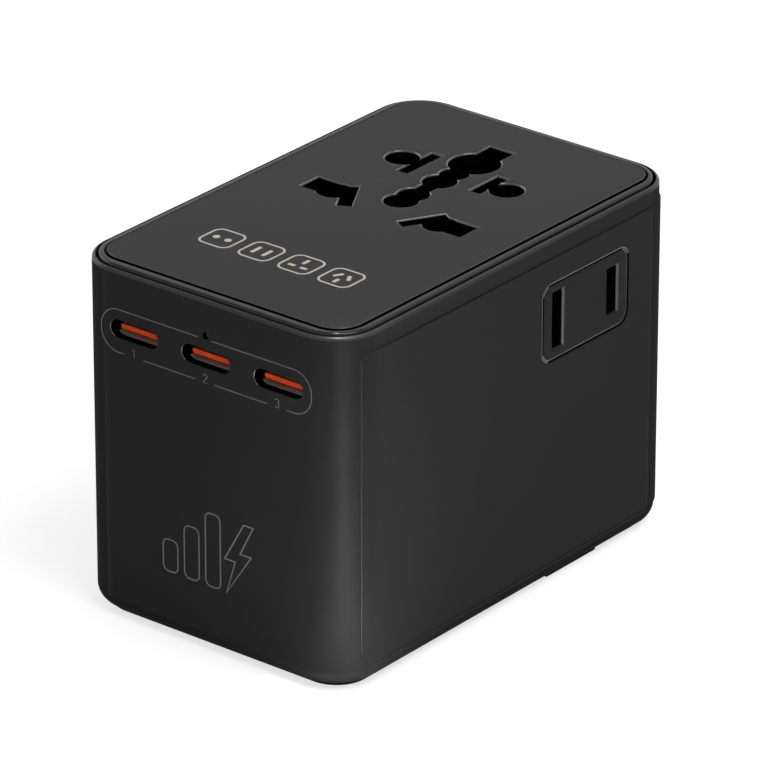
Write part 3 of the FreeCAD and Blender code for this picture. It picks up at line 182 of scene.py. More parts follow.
def slab(name, loops, levels, place, holeLevels=None):
    # a plate with holes; levels are (inset, depth) from its face to its back
    bm = bmesh.new()
    ends = ([], [])
    for loop in loops:
        loopLevels = levels if holeLevels is None or loop is loops[0] else holeLevels
        rings = []
        for amount, depth in loopLevels:
            rings.append([bm.verts.new(place(u, v, depth)) for u, v in inset(loop, amount)])
        skin(bm, rings)
        for side, ring in ((0, rings[0]), (1, rings[-1])):
            for k in range(len(ring)):
                pair = (ring[k], ring[(k + 1) % len(ring)])
                ends[side].append(bm.edges.get(pair) or bm.edges.new(pair))
    for edges in ends:
        bmesh.ops.triangle_fill(bm, use_beauty=True, edges=edges)
    return fromBmesh(name, bm)


def roundLevels(radius, thick, steps=5):
    # (inset, depth) of a face edge rounded by radius
    levels = []
    for i in range(steps + 1):
        angle = math.radians(90 * i / steps)
        levels.append((radius * (1 - math.sin(angle)), radius * (1 - math.cos(angle))))
    return levels + [(0.0, thick)]


def cutterLevels(radius, deep):
    # the same edge for a tool: it flares at the face, so that the cut leaves a rounded lip
    return [(-radius, -above)] + [(-amount, depth) for amount, depth in roundLevels(radius, deep)]


def meshLoops(node, axis, level, near=2e-6):
    # outlines of a flat face of a CAD node, as lists of (u, v)
    mesh = frame["nodes"][node].data
    others = [k for k in range(3) if k != axis]
    used = {}                 # the directed edges of its triangles
    corner = {}
    for polygon in mesh.polygons:
        spots = [mesh.vertices[v].co for v in polygon.vertices]
        if any(abs(spot[axis] - level) > near for spot in spots):
            continue
        keys = [tuple(round(spot[k] / merge) for k in others) for spot in spots]
        for key, spot in zip(keys, spots):
            corner[key] = (spot[others[0]], spot[others[1]])
        if polygon.normal[axis] < 0:
            keys.reverse()
        for k in range(len(keys)):
            used[(keys[k], keys[(k + 1) % len(keys)])] = True
    rim = {first: second for first, second in used if (second, first) not in used}
    loops = []
    while rim:
        start, here = rim.popitem()
        loop = [corner[start]]
        while here != start:
            loop.append(corner[here])
            here = rim.pop(here)
        loops.append(loop)
    return loops


def keepMesh(piece):
    # turns the piece and its modifiers into a plain mesh
    bpy.context.view_layer.update()
    shaped = piece.evaluated_get(bpy.context.evaluated_depsgraph_get())
    mesh = bpy.data.meshes.new_from_object(shaped)
    piece.modifiers.clear()
    piece.data = mesh
    return piece


def carve(piece, tools):
    for tool in tools:
        cut = piece.modifiers.new("cut", "BOOLEAN")
        cut.operation = "DIFFERENCE"
        cut.solver = "EXACT"
        cut.object = tool
    keepMesh(piece)
    for tool in tools:
        bpy.data.objects.remove(tool)
    return piece


def soften(piece, angle=32):
    # smooth shading across rounds, flat faces kept flat
    bm = bmesh.new()
    bm.from_mesh(piece.data)
    bmesh.ops.remove_doubles(bm, verts=bm.verts, dist=merge)
    bmesh.ops.dissolve_degenerate(bm, dist=merge, edges=bm.edges)
    bm.to_mesh(piece.data)
    bm.free()
    piece.data.polygons.foreach_set("use_smooth", [True] * len(piece.data.polygons))
    piece.data.set_sharp_from_angle(angle=math.radians(angle))
    weigh = piece.modifiers.new("weigh", "WEIGHTED_NORMAL")
    weigh.keep_sharp = True
    return keepMesh(piece)


def dress(piece, material, body="housing", nodes=(), pick=None):
    # pick names another finish for some faces, from their centre and normal
    piece.data.materials.clear()
    piece.data.materials.append(material)
    if pick:
        others = ("recessPaintedShade", "lipPolishPaintedGlint", "rimSatinPaintedSheen", "mattPaintedShade")
        for name in others:
            piece.data.materials.append(paint[name])
        for polygon in piece.data.polygons:
            name = pick(polygon.center, polygon.normal)
            polygon.material_index = 1 + others.index(name) if name else 0
    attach(piece, body)
    if nodes:
        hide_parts(*nodes)
    return piece


# How far a face's normal points along its plate's own direction
facing = {
    "wall": 0.1,              # the wall of an opening, up to this
    "flat": 0.98,             # the plate itself, from this
}


# walls of an opening get painted shade, near black; its lips polish with a painted glint
def wallOrLip(turn):
    if turn < facing["wall"]:
        return "recessPaintedShade"
    return "lipPolishPaintedGlint" if turn < facing["flat"] else None


# Finishes
def finishNodes(name):
    material = bpy.data.materials.new(name)
    material.use_nodes = True
    tree = material.node_tree
    shader = tree.nodes["Principled BSDF"]
    place = tree.nodes.new("ShaderNodeTexCoord")
    return material, tree, shader, place.outputs["Object"]


def addNode(tree, kind, links=(), values=()):
    # a node with outputs of other nodes linked to its inputs, or with values on them
    node = tree.nodes.new(kind)
    for name, value in dict(values).items():
        node.inputs[name].default_value = value
    for name, output in dict(links).items():
        tree.links.new(output, node.inputs[name])
    return node


def noise(tree, place, scale, detail):
    node = addNode(tree, "ShaderNodeTexNoise", {"Vector": place}, {"Scale": scale, "Detail": detail})
    return node.outputs["Fac"]


def spread(tree, value, low, high, least=0.3, most=0.7):
    # nearly all of a noise lies between least and most
    node = addNode(tree, "ShaderNodeMapRange", {"Value": value},
                   {"From Min": least, "From Max": most, "To Min": low, "To Max": high})
    return node.outputs["Result"]


def tint(tree, value, dark, light):
    node = tree.nodes.new("ShaderNodeMix")
    node.data_type = "RGBA"
    node.inputs["A"].default_value = (*dark, 1)
    node.inputs["B"].default_value = (*light, 1)
    tree.links.new(value, node.inputs["Factor"])
    return node.outputs["Result"]


def bump(tree, shader, value, strength, depth):
    node = addNode(tree, "ShaderNodeBump", {"Height": value}, {"Strength": strength, "Distance": depth})
    tree.links.new(node.outputs["Normal"], shader.inputs["Normal"])


# A finish says only where it differs from these
usual = {
    "grain": 7000,            # a cell of the grain is about 1 / grain metres wide
    "grainDetail": 3.0,
    "cloud": 60.0,            # the same for the broad tone
    "cloudDetail": 2.0,
    "vary": 0.08,             # share by which the colour varies
    "uneven": 0.03,           # by which the roughness varies
    "ior": 1.46,
    "metal": 0.0,
    "clear": 0.0,
    "coat": 0.0,
    "coatRough": 0.1,
    "relief": 0.08,
    "reliefDeep": 0.02 * mm,
}


def plain(name, given):
    # plastic, metal, ceramic or paint: a fine grain, a broad cloud of tone and uneven gloss
    look = {**usual, **given}
    material, tree, shader, place = finishNodes(name)
    grain = noise(tree, place, look["grain"], look["grainDetail"])
    cloud = noise(tree, place, look["cloud"], look["cloudDetail"])
    dark = tuple(c * (1 - look["vary"]) for c in look["colour"])
    light = tuple(min(1.0, c * (1 + look["vary"])) for c in look["colour"])
    tree.links.new(tint(tree, cloud, dark, light), shader.inputs["Base Color"])
    gloss = spread(tree, grain, look["rough"] - look["uneven"], look["rough"] + look["uneven"])
    tree.links.new(gloss, shader.inputs["Roughness"])
    for socket, key in (("IOR", "ior"), ("Metallic", "metal"), ("Transmission Weight", "clear"),
                        ("Coat Weight", "coat"), ("Coat Roughness", "coatRough")):
        shader.inputs[socket].default_value = look[key]
    bump(tree, shader, grain, look["relief"], look["reliefDeep"])
    return material


def grey(level):
    return (level, level, level)


finishes = {
    "shellBlack": {"colour": (0.015, 0.015, 0.0151), "rough": 0.34, "ior": 1.12},
    "wrapBlack": {"colour": (0.015, 0.015, 0.0151), "rough": 0.36, "ior": 1.12},
    "insertBlack": {"colour": (0.015, 0.015, 0.0151), "rough": 0.36, "ior": 1.12},
    "plateBlack": {"colour": (0.012, 0.012, 0.0121), "rough": 0.26, "ior": 1.155, "relief": 0.05},
    "ringGloss": {"colour": grey(0.006), "rough": 0.12, "grain": 3000, "ior": 1.3, "relief": 0.02},
    # painted shade: near black, with almost no reflection, for the walls of openings, the insides of the mouths
    # and ports, and edges turned away from the light
    "recessPaintedShade": {"colour": grey(0.0015), "rough": 0.8, "grain": 5000, "ior": 1.03, "relief": 0.2},
    # polish with a painted glint: given to lips where the light should catch them
    "lipPolishPaintedGlint": {"colour": grey(0.012), "rough": 0.24, "grain": 5000, "ior": 1.5, "relief": 0.03,
                  "coat": 0.6, "coatRough": 0.2},
    # painted shade: a dull copy of the black, with almost no reflection, for faces turned left, back or down and
    # for the base cover
    "mattPaintedShade": {"colour": (0.026, 0.026, 0.0262), "rough": 0.6, "ior": 1.03},
    # satin with a painted sheen: a lighter, glossier finish on the shell's rim and the wrap's front edges
    "rimSatinPaintedSheen": {"colour": grey(0.02), "rough": 0.3, "grain": 6000, "ior": 1.3, "relief": 0.05},
    # painted light: a pale grey that is no metal, for the bright floor of each port's steel shell
    "portFloorPaintedLight": {"colour": (0.42, 0.385, 0.375), "rough": 0.4, "grain": 9000, "ior": 1.4, "relief": 0.3,
                  "vary": 0.2},
    "knobBlack": {"colour": grey(0.008), "rough": 0.45, "grain": 6000, "ior": 1.35, "relief": 0.12},
    "innerPlastic": {"colour": (0.02, 0.02, 0.021), "rough": 0.5, "grain": 5000, "ior": 1.4, "relief": 0.1},
    "orange": {"colour": (1.0, 0.085, 0.008), "rough": 0.45, "grain": 5000, "ior": 1.2, "relief": 0.05,
               "vary": 0.03},
    "clear": {"colour": (0.75, 0.78, 0.8), "rough": 0.12, "grain": 3000, "ior": 1.49, "relief": 0.02,
              "clear": 0.7},
    "capacitorSleeve": {"colour": (0.02, 0.025, 0.05), "rough": 0.3, "grain": 2500, "ior": 1.5,
                        "relief": 0.05},
    "chipResin": {"colour": (0.012, 0.012, 0.013), "rough": 0.6, "grain": 9000, "ior": 1.5, "relief": 0.3},
    "ceramic": {"colour": (0.72, 0.69, 0.6), "rough": 0.35, "grain": 3500, "ior": 1.5},
    "sheetInsulator": {"colour": (0.5, 0.42, 0.2), "rough": 0.4, "grain": 2500, "ior": 1.5, "relief": 0.05},
    "paintGrey": {"colour": (0.17, 0.165, 0.155), "rough": 0.5, "grain": 6000, "ior": 1.4, "relief": 0.1},
    "paintPale": {"colour": (0.46, 0.44, 0.38), "rough": 0.5, "grain": 6000, "ior": 1.4, "relief": 0.1},
    "steelBrushed": {"colour": (0.62, 0.62, 0.63), "rough": 0.5, "grain": 4000, "metal": 1.0},
    "aluminium": {"colour": (0.62, 0.62, 0.63), "rough": 0.35, "grain": 4000, "metal": 1.0, "relief": 0.1},
    "brass": {"colour": (0.72, 0.48, 0.2), "rough": 0.25, "grain": 4000, "metal": 1.0, "relief": 0.06},
    "gold": {"colour": (0.95, 0.72, 0.36), "rough": 0.22, "grain": 4000, "metal": 1.0, "relief": 0.04},
    "nickel": {"colour": (0.66, 0.64, 0.6), "rough": 0.2, "grain": 4000, "metal": 1.0, "relief": 0.05},
    "ferriteGrey": {"colour": (0.045, 0.045, 0.047), "rough": 0.7, "grain": 4500, "ior": 1.6,
                    "relief": 0.35},
    "boardGreen": {"colour": (0.01, 0.06, 0.03), "rough": 0.3, "grain": 2500, "ior": 1.5, "relief": 0.1},
    "windingYellow": {"colour": (0.75, 0.48, 0.05), "rough": 0.3, "grain": 1500, "ior": 1.5,
                      "relief": 0.12},
}
paint = {name: plain(name, look) for name, look in finishes.items()}
print("finishes made:", len(paint))

# The CAD nodes that stay take their finish by material slot of the record
slotPaint = {
    "shell_plastic": "shellBlack", "wrap_plastic": "wrapBlack", "ring_plastic": "ringGloss",
    "plate_plastic": "plateBlack", "inner_plastic": "innerPlastic", "steel": "steelBrushed",
    "port_insulator": "orange", "clear_plastic": "clear", "circuit_board": "boardGreen",
    "insulating_sheet": "sheetInsulator", "aluminium": "aluminium", "ferrite": "ferriteGrey",
    "winding_tape": "windingYellow", "capacitor_can": "capacitorSleeve", "chip_resin": "chipResin",
    "fuse_ceramic": "ceramic", "brass": "brass", "nickel_plate": "nickel",
}
nodeSlots = {row["node"]: row["material_slot"] for row in frame["record"]["subparts"]}
for name, node in frame["nodes"].items():
    node.data.materials.clear()
    node.data.materials.append(paint[slotPaint.get(nodeSlots.get(name), "innerPlastic")])
# painted shade: the shutter and the core under the plate's slots are near black
for name in ("socket_shutter", "socket_core"):
    frame["nodes"][name].data.materials[0] = paint["recessPaintedShade"]
portNumbers = (1, 2, 3)
portFloorTurn = 0.6           # faces that point up more than this are a port's floor, which is bright
# each port's steel shell: painted shade, near black, except its floor, which gets painted light, a pale grey
for index in portNumbers:
    mesh = frame["nodes"][f"usb_port_shell_{index}"].data
    mesh.materials[0] = paint["recessPaintedShade"]
    mesh.materials.append(paint["portFloorPaintedLight"])
    for polygon in mesh.polygons:
        polygon.material_index = int(polygon.normal.z > portFloorTurn)
# painted shade: the base cover takes the dull finish
frame["nodes"]["base_cover"].data.materials[0] = paint["mattPaintedShade"]


# Main shell
shellLow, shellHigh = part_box("main_shell")
wrapLow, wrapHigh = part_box("side_wrap")
plateLow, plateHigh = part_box("face_plate")
ringLow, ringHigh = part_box("top_ring")
insertLow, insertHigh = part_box("side_outlet_insert")
shell = {
    "corner": 7.2 * mm,       # upright corners
    "rim": 0.5 * mm,          # rim beside the ring
    "rimRound": 0.6 * mm,
    "lowRound": 2.8 * mm,
    "wall": 2.0 * mm,
    "rebate": 2.15 * mm,      # seat of the base cover
    "floorInset": 3.9 * mm,
    "floorTop": 3.3 * mm,
    "coverTop": 1.5 * mm,
    "skim": 0.012 * mm,       # room for the print on the front face
    "seam": 0.05 * mm,
    "seamDeep": 0.02 * mm,    # behind the wrap
    "leastCorner": 0.4 * mm,
    "rimSteps": 10,
    "lowSteps": 14,
    # a face takes painted shade, a dull finish, where its normal turns further than these, or a satin finish with
    # a painted sheen on the rim between two
    "rimTurn": (0.15, 0.999),
    "lowTurn": -0.05,
    "leftTurn": -0.22,
    "backTurn": 0.1,
}
frontFace = shellLow.y + shell["skim"]


def bodyRing(low, high, radius, inward, level):
    halfX, halfY = (high.x - low.x) / 2 - inward, (high.y - low.y) / 2 - inward
    middle = ((low.x + high.x) / 2, (low.y + high.y) / 2)
    outline = roundedRect(halfX, halfY, max(radius - inward, shell["leastCorner"]), middle)
    return [Vector((u, v, level)) for u, v in outline]


def buildShell():
    low, high = shellLow.copy(), shellHigh.copy()
    low.y = frontFace
    rim, rimRound, lowRound = shell["rim"], shell["rimRound"], shell["lowRound"]
    profile = [(rim, ringLow.z)]
    first = math.asin(1 - rim / rimRound)
    for i in range(shell["rimSteps"] + 1):
        angle = first + (math.pi / 2 - first) * i / shell["rimSteps"]
        profile.append((rimRound * (1 - math.sin(angle)), high.z - rimRound * (1 - math.cos(angle))))
    reach = math.degrees(math.acos(1 - shell["rebate"] / lowRound))
    for i in range(shell["lowSteps"] + 1):
        angle = math.radians(reach * i / shell["lowSteps"])
        profile.append((lowRound * (1 - math.cos(angle)), low.z + lowRound * (1 - math.sin(angle))))
    coverTop, floorTop = baseLevel + shell["coverTop"], baseLevel + shell["floorTop"]
    rebate, floorInset, wall = shell["rebate"], shell["floorInset"], shell["wall"]
    profile += [(rebate, coverTop), (floorInset, coverTop), (floorInset, floorTop), (wall, floorTop),
                (wall, ringLow.z)]
    rings = [bodyRing(low, high, shell["corner"], amount, level) for amount, level in profile]
    return sweep("shellBody", rings)


# Side wrap: a slab bent round the body; along is measured from its right front edge
wrap = {
    "corner": 7.4 * mm,
    "thick": 1.0 * mm,
    "lowRound": 2.8 * mm,     # its lower front corners
    "highRound": 1.2 * mm,
    "edge": 0.16 * mm,        # rounded rim
    "window": 0.12 * mm,      # rounded window edges
    "windowDeep": 4 * mm,
    "toolAbove": 1.5 * mm,    # the tool of its recess starts this far outside it
    "roundSteps": 10,
    "frontSteps": 8,
    "cornerSteps": 20,
    "leastColumn": 0.02 * mm,
    # a face takes painted shade or a painted sheen where its normal turns further than these
    "frontTurn": -0.75,
    "cornerTurn": 0.1,
    "lowTurn": -0.1,
    "windowTurn": -0.5,
    # the corner's dull finish is painted shade
    "cornerReach": 1 * mm,    # the matt corner starts this far behind the insert
}


def wrapPath():
    radius = wrap["corner"]
    halfX, halfY = wrapHigh.x - radius, wrapHigh.y - radius
    start = math.acos(min(1.0, (-wrapLow.y - halfY) / radius))    # the front edges stand on the corner arcs
    quarter = math.pi / 2 * radius
    first = (math.pi / 2 - start) * radius
    return {"radius": radius, "halfX": halfX, "halfY": halfY, "start": start, "quarter": quarter,
            "first": first, "long": 2 * first + 2 * quarter + 4 * halfY + 2 * halfX}


def wrapPoint(path, along, depth, level):
    # walks round the body from the right front corner by the back to the left front corner
    mirrored = along > path["long"] / 2
    walk = path["long"] - along if mirrored else along
    radius = path["radius"]
    if walk < path["first"]:
        turn = path["start"] + walk / radius
        spot = Vector((path["halfX"] + (radius - depth) * math.sin(turn),
                       -path["halfY"] - (radius - depth) * math.cos(turn), level))
    elif walk < path["first"] + 2 * path["halfY"]:
        spot = Vector((path["halfX"] + radius - depth, walk - path["first"] - path["halfY"], level))
    elif walk < path["first"] + 2 * path["halfY"] + path["quarter"]:
        turn = (walk - path["first"] - 2 * path["halfY"]) / radius
        spot = Vector((path["halfX"] + (radius - depth) * math.cos(turn),
                       path["halfY"] + (radius - depth) * math.sin(turn), level))
    else:
        gone = walk - path["first"] - 2 * path["halfY"] - path["quarter"]
        spot = Vector((path["halfX"] - gone, path["halfY"] + radius - depth, level))
    if mirrored:
        spot.x = -spot.x
    return spot


def wrapColumns(path):
    # where the slab has its upright edges
    half = {0.0, path["long"] / 2, path["first"] + path["halfY"]}
    steps = wrap["roundSteps"]
    for radius in (wrap["lowRound"], wrap["highRound"]):
        half |= {radius * (1 - math.cos(math.radians(90 * i / steps))) for i in range(steps + 1)}
    half |= {path["first"] * i / wrap["frontSteps"] for i in range(wrap["frontSteps"] + 1)}
    after = path["first"] + 2 * path["halfY"]
    half |= {after + path["quarter"] * i / wrap["cornerSteps"] for i in range(wrap["cornerSteps"] + 1)}
    tidy = []
    for along in sorted(half):
        if not tidy or along - tidy[-1] > wrap["leastColumn"]:
            tidy.append(along)
    return tidy + [path["long"] - along for along in reversed(tidy[:-1])]


def lift(along, path, radius):
    # how far a rounded end of the slab draws its edge in
    short = min(along, path["long"] - along)
    return radius - math.sqrt(max(0.0, radius ** 2 - (radius - short) ** 2)) if short < radius else 0.0


def wrapSlab(name, grow, levels):
    path = wrapPath()
    columns = wrapColumns(path)
    low = [(along, wrapLow.z + lift(along, path, wrap["lowRound"])) for along in columns]
    high = [(along, wrapHigh.z - lift(along, path, wrap["highRound"])) for along in columns]
    loop = low + list(reversed(high))
    count = len(columns)
    bm = bmesh.new()
    rings = []
    for amount, depth in levels:
        rings.append([bm.verts.new(wrapPoint(path, u, depth, v)) for u, v in inset(loop, amount - grow)])
    skin(bm, rings)
    for ring in (rings[0], rings[-1]):
        for k in range(count - 1):
            bm.faces.new((ring[k], ring[k + 1], ring[2 * count - 2 - k], ring[2 * count - 1 - k]))
    return fromBmesh(name, bm)


ports = {
    "round": 0.14 * mm,       # lip of the mouths
    "wide": 8.66 * mm,
    "tall": 2.8 * mm,
    "deep": 4 * mm,
    "cornerSteps": 14,
    "full": 0.998,            # share of half the height that rounds the ends
    "seatGap": 0.05 * mm,     # round the metal shells
    "seatDeep": 3 * mm,
    "seatSteps": 10,
    "seatFull": 0.99,
    "ledRadius": 0.55 * mm,
    "ledLip": 0.08 * mm,
    "reach": 1 * mm,          # the lips lie this near to a mouth
    "reachDeep": 5 * mm,
    "lipTurn": 0.35,
}
outlet = {
    "corner": 1.8 * mm,
    "gap": 0.08 * mm,
    "lip": 0.2 * mm,          # width of the chamfers round the insert
    "lipDeep": 0.08 * mm,
    "deep": 6 * mm,
    "slotWide": 2.3 * mm,
    "slotFront": 8.6 * mm,
    "slotRear": 7.1 * mm,
    "pitch": 12.7 * mm,
    "chamfer": 0.28 * mm,
    "reach": 0.5 * mm,        # the window's lips lie this near to the insert
    "litTurn": 0.1,
    "endTurn": 0.4,
}
knobs = {
    "gap": 0.3 * mm,
    "round": 0.14 * mm,
    "corner": 0.8 * mm,
    "cornerSteps": 10,
    "windowCorner": 0.48 * mm,
    "neckCorner": 0.3 * mm,
    "toolSteps": 8,
    "neckGap": 0.3 * mm,
    "neckWide": 2.0 * mm,
    "neckTall": 6.0 * mm,
    "neckDeep": 6 * mm,
}
portBoxes = [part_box(f"usb_port_shell_{i}") for i in portNumbers]
ledLow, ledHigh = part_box("led_light_pipe")
knobPlaces = {
    "uk_slider_knob": ("uk_plug", "back"),
    "eu_slider_knob": ("eu_plug", "left"),
    "us_slider_knob": ("us_plug", "left"),
}
travels = {joint["child"]: joint["range_m"][1] for joint in frame["joints"]
           if joint["name"].endswith("_slide")}


def insertOutline(grow=0.0):
    low, high = insertLow, insertHigh
    return roundedRect((high.y - low.y) / 2 + grow, (high.z - low.z) / 2 + grow, outlet["corner"] + grow,
                       ((low.y + high.y) / 2, (low.z + high.z) / 2))


def knobSizes(node):
    # a knob's sizes, its centre in its wall's own u, and the places of its face and of its wall
    body, side = knobPlaces[node]
    low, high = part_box(node)
    sizes = {"body": body, "tall": high.z - low.z}
    if side == "left":
        sizes.update({"wide": high.y - low.y, "thick": high.x - low.x, "face": onLeft(low.x),
                      "wall": onLeft(wrapLow.x), "centre": (-(low.y + high.y) / 2, (low.z + high.z) / 2)})
    else:
        sizes.update({"wide": high.x - low.x, "thick": high.y - low.y, "face": onBack(high.y),
                      "wall": onBack(wrapHigh.y), "centre": (-(low.x + high.x) / 2, (low.z + high.z) / 2)})
    return sizes


def knobTool(node, name, grow, radius, deep, neck=False):
    # cuts the space that a knob or its neck takes over its travel
    knob = knobSizes(node)
    travel = travels[knob["body"]]
    centre = (knob["centre"][0], knob["centre"][1] - travel / 2)
    wide = knobs["neckWide"] if neck else knob["wide"]
    tall = knobs["neckTall"] if neck else knob["tall"]
    corner = knobs["neckCorner"] if neck else knobs["windowCorner"]
    outline = roundedRect(wide / 2 + grow, (tall + travel) / 2 + grow, corner, centre, knobs["toolSteps"])
    return slab(name, [outline], cutterLevels(radius, deep), knob["wall"])


def shellFinish(centre, normal):
    # a painted sheen on the rim; painted shade on the low edge and the far corners as a dull finish, and near
    # black inside the mouths; polish with a painted glint on the lips at the mouths' left ends
    if centre.z > shellHigh.z - shell["rimRound"]:
        return "rimSatinPaintedSheen" if shell["rimTurn"][0] < normal.z < shell["rimTurn"][1] else None
    reach = ports["reach"]
    nearMouth = any(low.x - reach < centre.x < high.x + reach and low.z - reach < centre.z < high.z + reach
                    for low, high in portBoxes + [(ledLow, ledHigh)])
    if not nearMouth or centre.y > frontFace + ports["reachDeep"] or normal.y < -facing["flat"]:
        # faces turned down, left or back take painted shade, a dull finish
        matt = (normal.z < shell["lowTurn"] or normal.x < shell["leftTurn"]
                or normal.y > shell["backTurn"])
        return "mattPaintedShade" if matt else None
    if centre.y > frontFace + ports["round"]:
        return "recessPaintedShade"
    return "lipPolishPaintedGlint" if normal.x > ports["lipTurn"] and centre.z < ledLow.z - reach else None


def lipGlintOrShade(normal):
    # of the chamfers round the insert, those that face down or back get polish with a painted glint, as if they
    # catch the light, and the others painted shade, near black
    down, back = normal.z < -outlet["litTurn"], normal.y > outlet["litTurn"]
    if facing["wall"] < normal.x < facing["flat"] and (down or back):
        return "lipPolishPaintedGlint"
    return "recessPaintedShade" if normal.x < facing["flat"] else None


def insertFinish(centre, normal):
    # the upright lips of the slots get polish with a painted glint, their ends do not; the slot walls, and round
    # the insert's edge the chamfers turned away, get painted shade, near black
    middle = (insertLow + insertHigh) / 2
    atEdge = abs(centre.y - middle.y) > (insertHigh.y - insertLow.y) / 2 - outlet["lip"] or (
        abs(centre.z - middle.z) > (insertHigh.z - insertLow.z) / 2 - outlet["lip"])
    if atEdge:
        return lipGlintOrShade(normal)
    finish = wallOrLip(normal.x)
    return None if finish == "lipPolishPaintedGlint" and abs(normal.z) > outlet["endTurn"] else finish


def wrapFinish(centre, normal):
    # satin with a painted sheen on the front edges, painted shade on the far corner as a dull finish and on the
    # low edge as near black, and lips round the outlet's window painted lit or shaded by which way they face
    if centre.y < wrapLow.y + wrap["edge"] and normal.y < wrap["frontTurn"]:
        return "rimSatinPaintedSheen"
    turned = normal.x > wrap["cornerTurn"] and normal.y > wrap["cornerTurn"]
    if turned and centre.y > insertHigh.y + wrap["cornerReach"]:
        return "mattPaintedShade"
    if normal.z < wrap["lowTurn"] and centre.z < wrapLow.z + wrap["edge"]:
        return "recessPaintedShade"
    low, high, reach = insertLow, insertHigh, outlet["reach"]
    beside = low.y - reach < centre.y < high.y + reach and low.z - reach < centre.z < high.z + reach
    return lipGlintOrShade(normal) if beside and centre.x > 0 and normal.x > wrap["windowTurn"] else None


shellBody = buildShell()
recess = [(0, -wrap["toolAbove"]), (0, wrap["thick"] + shell["seamDeep"])]
tools = [wrapSlab("recessTool", shell["seam"], recess)]
tools.append(slab("insertTool", [insertOutline(outlet["gap"])], [(0, -above), (0, outlet["deep"])],
                  onRight(wrapHigh.x)))
for node in knobPlaces:
    tools.append(knobTool(node, node + "Neck", knobs["neckGap"], merge, knobs["neckDeep"], True))
for index, (low, high) in enumerate(portBoxes):
    centre = ((low.x + high.x) / 2, (low.z + high.z) / 2)
    mouth = roundedRect(ports["wide"] / 2, ports["tall"] / 2, ports["tall"] / 2 * ports["full"], centre,
                        ports["cornerSteps"])
    tools.append(slab(f"mouth{index}", [mouth], cutterLevels(ports["round"], ports["deep"]),
                      onFront(frontFace)))
for index, (low, high) in enumerate(portBoxes):
    centre = ((low.x + high.x) / 2, (low.z + high.z) / 2)
    half = ((high.x - low.x) / 2 + ports["seatGap"], (high.z - low.z) / 2 + ports["seatGap"])
    seat = roundedRect(*half, half[1] * ports["seatFull"], centre, ports["seatSteps"])
    tools.append(slab(f"seat{index}", [seat], [(0, 0), (0, ports["seatDeep"])], onFront(low.y)))
ledCentre = ((ledLow.x + ledHigh.x) / 2, (ledLow.z + ledHigh.z) / 2)
tools.append(slab("ledTool", [circle(ports["ledRadius"], ledCentre)],
                  cutterLevels(ports["ledLip"], ports["deep"]), onFront(frontFace)))
carve(shellBody, tools)
soften(shellBody)
dress(shellBody, paint["shellBlack"], nodes=["main_shell"], pick=shellFinish)
print("shell carved:", len(shellBody.data.polygons), "faces")

wrapSkin = wrapSlab("wrapSkin", 0.0, roundLevels(wrap["edge"], wrap["thick"]))
windowLevels = [(-outlet["lip"], -above), (-outlet["lip"], 0), (0, outlet["lipDeep"]),
                (0, wrap["windowDeep"])]
tools = [slab("insertWindow", [insertOutline(outlet["gap"])], windowLevels, onRight(wrapHigh.x))]
for node in knobPlaces:
    tools.append(knobTool(node, node + "Window", knobs["gap"], wrap["window"], wrap["windowDeep"]))
carve(wrapSkin, tools)
soften(wrapSkin)
dress(wrapSkin, paint["wrapBlack"], nodes=["side_wrap"], pick=wrapFinish)
print("wrap carved:", len(wrapSkin.data.polygons), "faces")

# Side outlet insert
slots = []
insertMiddle = ((insertLow.y + insertHigh.y) / 2, (insertLow.z + insertHigh.z) / 2)
for side, tall in ((-1, outlet["slotFront"]), (1, outlet["slotRear"])):
    centre = (insertMiddle[0] + side * outlet["pitch"] / 2, insertMiddle[1])
    slots.append(rectangle(outlet["slotWide"] / 2, tall / 2, centre))
insertLevels = [(outlet["lip"], 0), (0, outlet["lipDeep"]), (0, insertHigh.x - insertLow.x)]
slotLevels = [(-outlet["chamfer"], -above), (-outlet["chamfer"], 0), (0, outlet["chamfer"]),
              (0, outlet["deep"])]
outletInsert = slab("outletInsert", [insertOutline()], insertLevels, onRight(insertHigh.x))
carve(outletInsert, [slab(f"slotTool{index}", [loop], slotLevels, onRight(insertHigh.x))
                     for index, loop in enumerate(slots)])
soften(outletInsert)
dress(outletInsert, paint["insertBlack"], nodes=["side_outlet_insert"], pick=insertFinish)

# Top ring: its crown falls outward, with a dark joint on either side
ring = {
    "corner": 6.58 * mm,
    "inward": 0.3 * mm,       # from the side of the modelled ring
    "outerRoll": 0.5 * mm,
    "innerRoll": 0.08 * mm,
    "plateGap": 0.4 * mm,
    "plateCorner": 4.2 * mm,
    "shelf": 1.7 * mm,
    "shelfLevel": 52.5 * mm,
    "outerSteps": 10,
    "innerSteps": 4,
}


def buildRing():
    outer, inner, gap = ring["outerRoll"], ring["innerRoll"], ring["plateGap"]
    rings = [bodyRing(ringLow, ringHigh, ring["corner"], ring["inward"], ringLow.z)]
    for i in range(ring["outerSteps"] + 1):
        angle = math.radians(90 * i / ring["outerSteps"])
        inward = ring["inward"] + outer * (1 - math.cos(angle))
        level = ringHigh.z - outer * (1 - math.sin(angle))
        rings.append(bodyRing(ringLow, ringHigh, ring["corner"], inward, level))
    inside = []
    for i in range(ring["innerSteps"] + 1):
        angle = math.radians(90 * i / ring["innerSteps"])
        inside.append((gap + inner * (1 - math.sin(angle)), ringHigh.z - inner * (1 - math.cos(angle))))
    shelfLevel = baseLevel + ring["shelfLevel"]
    inside += [(gap, shelfLevel), (-ring["shelf"], shelfLevel), (-ring["shelf"], ringLow.z)]
    for outward, level in inside:
        rings.append(bodyRing(plateLow, plateHigh, ring["plateCorner"], -outward, level))
    return sweep("trimRing", rings)


trimRing = buildRing()
soften(trimRing)
dress(trimRing, paint["ringGloss"], nodes=["top_ring"])

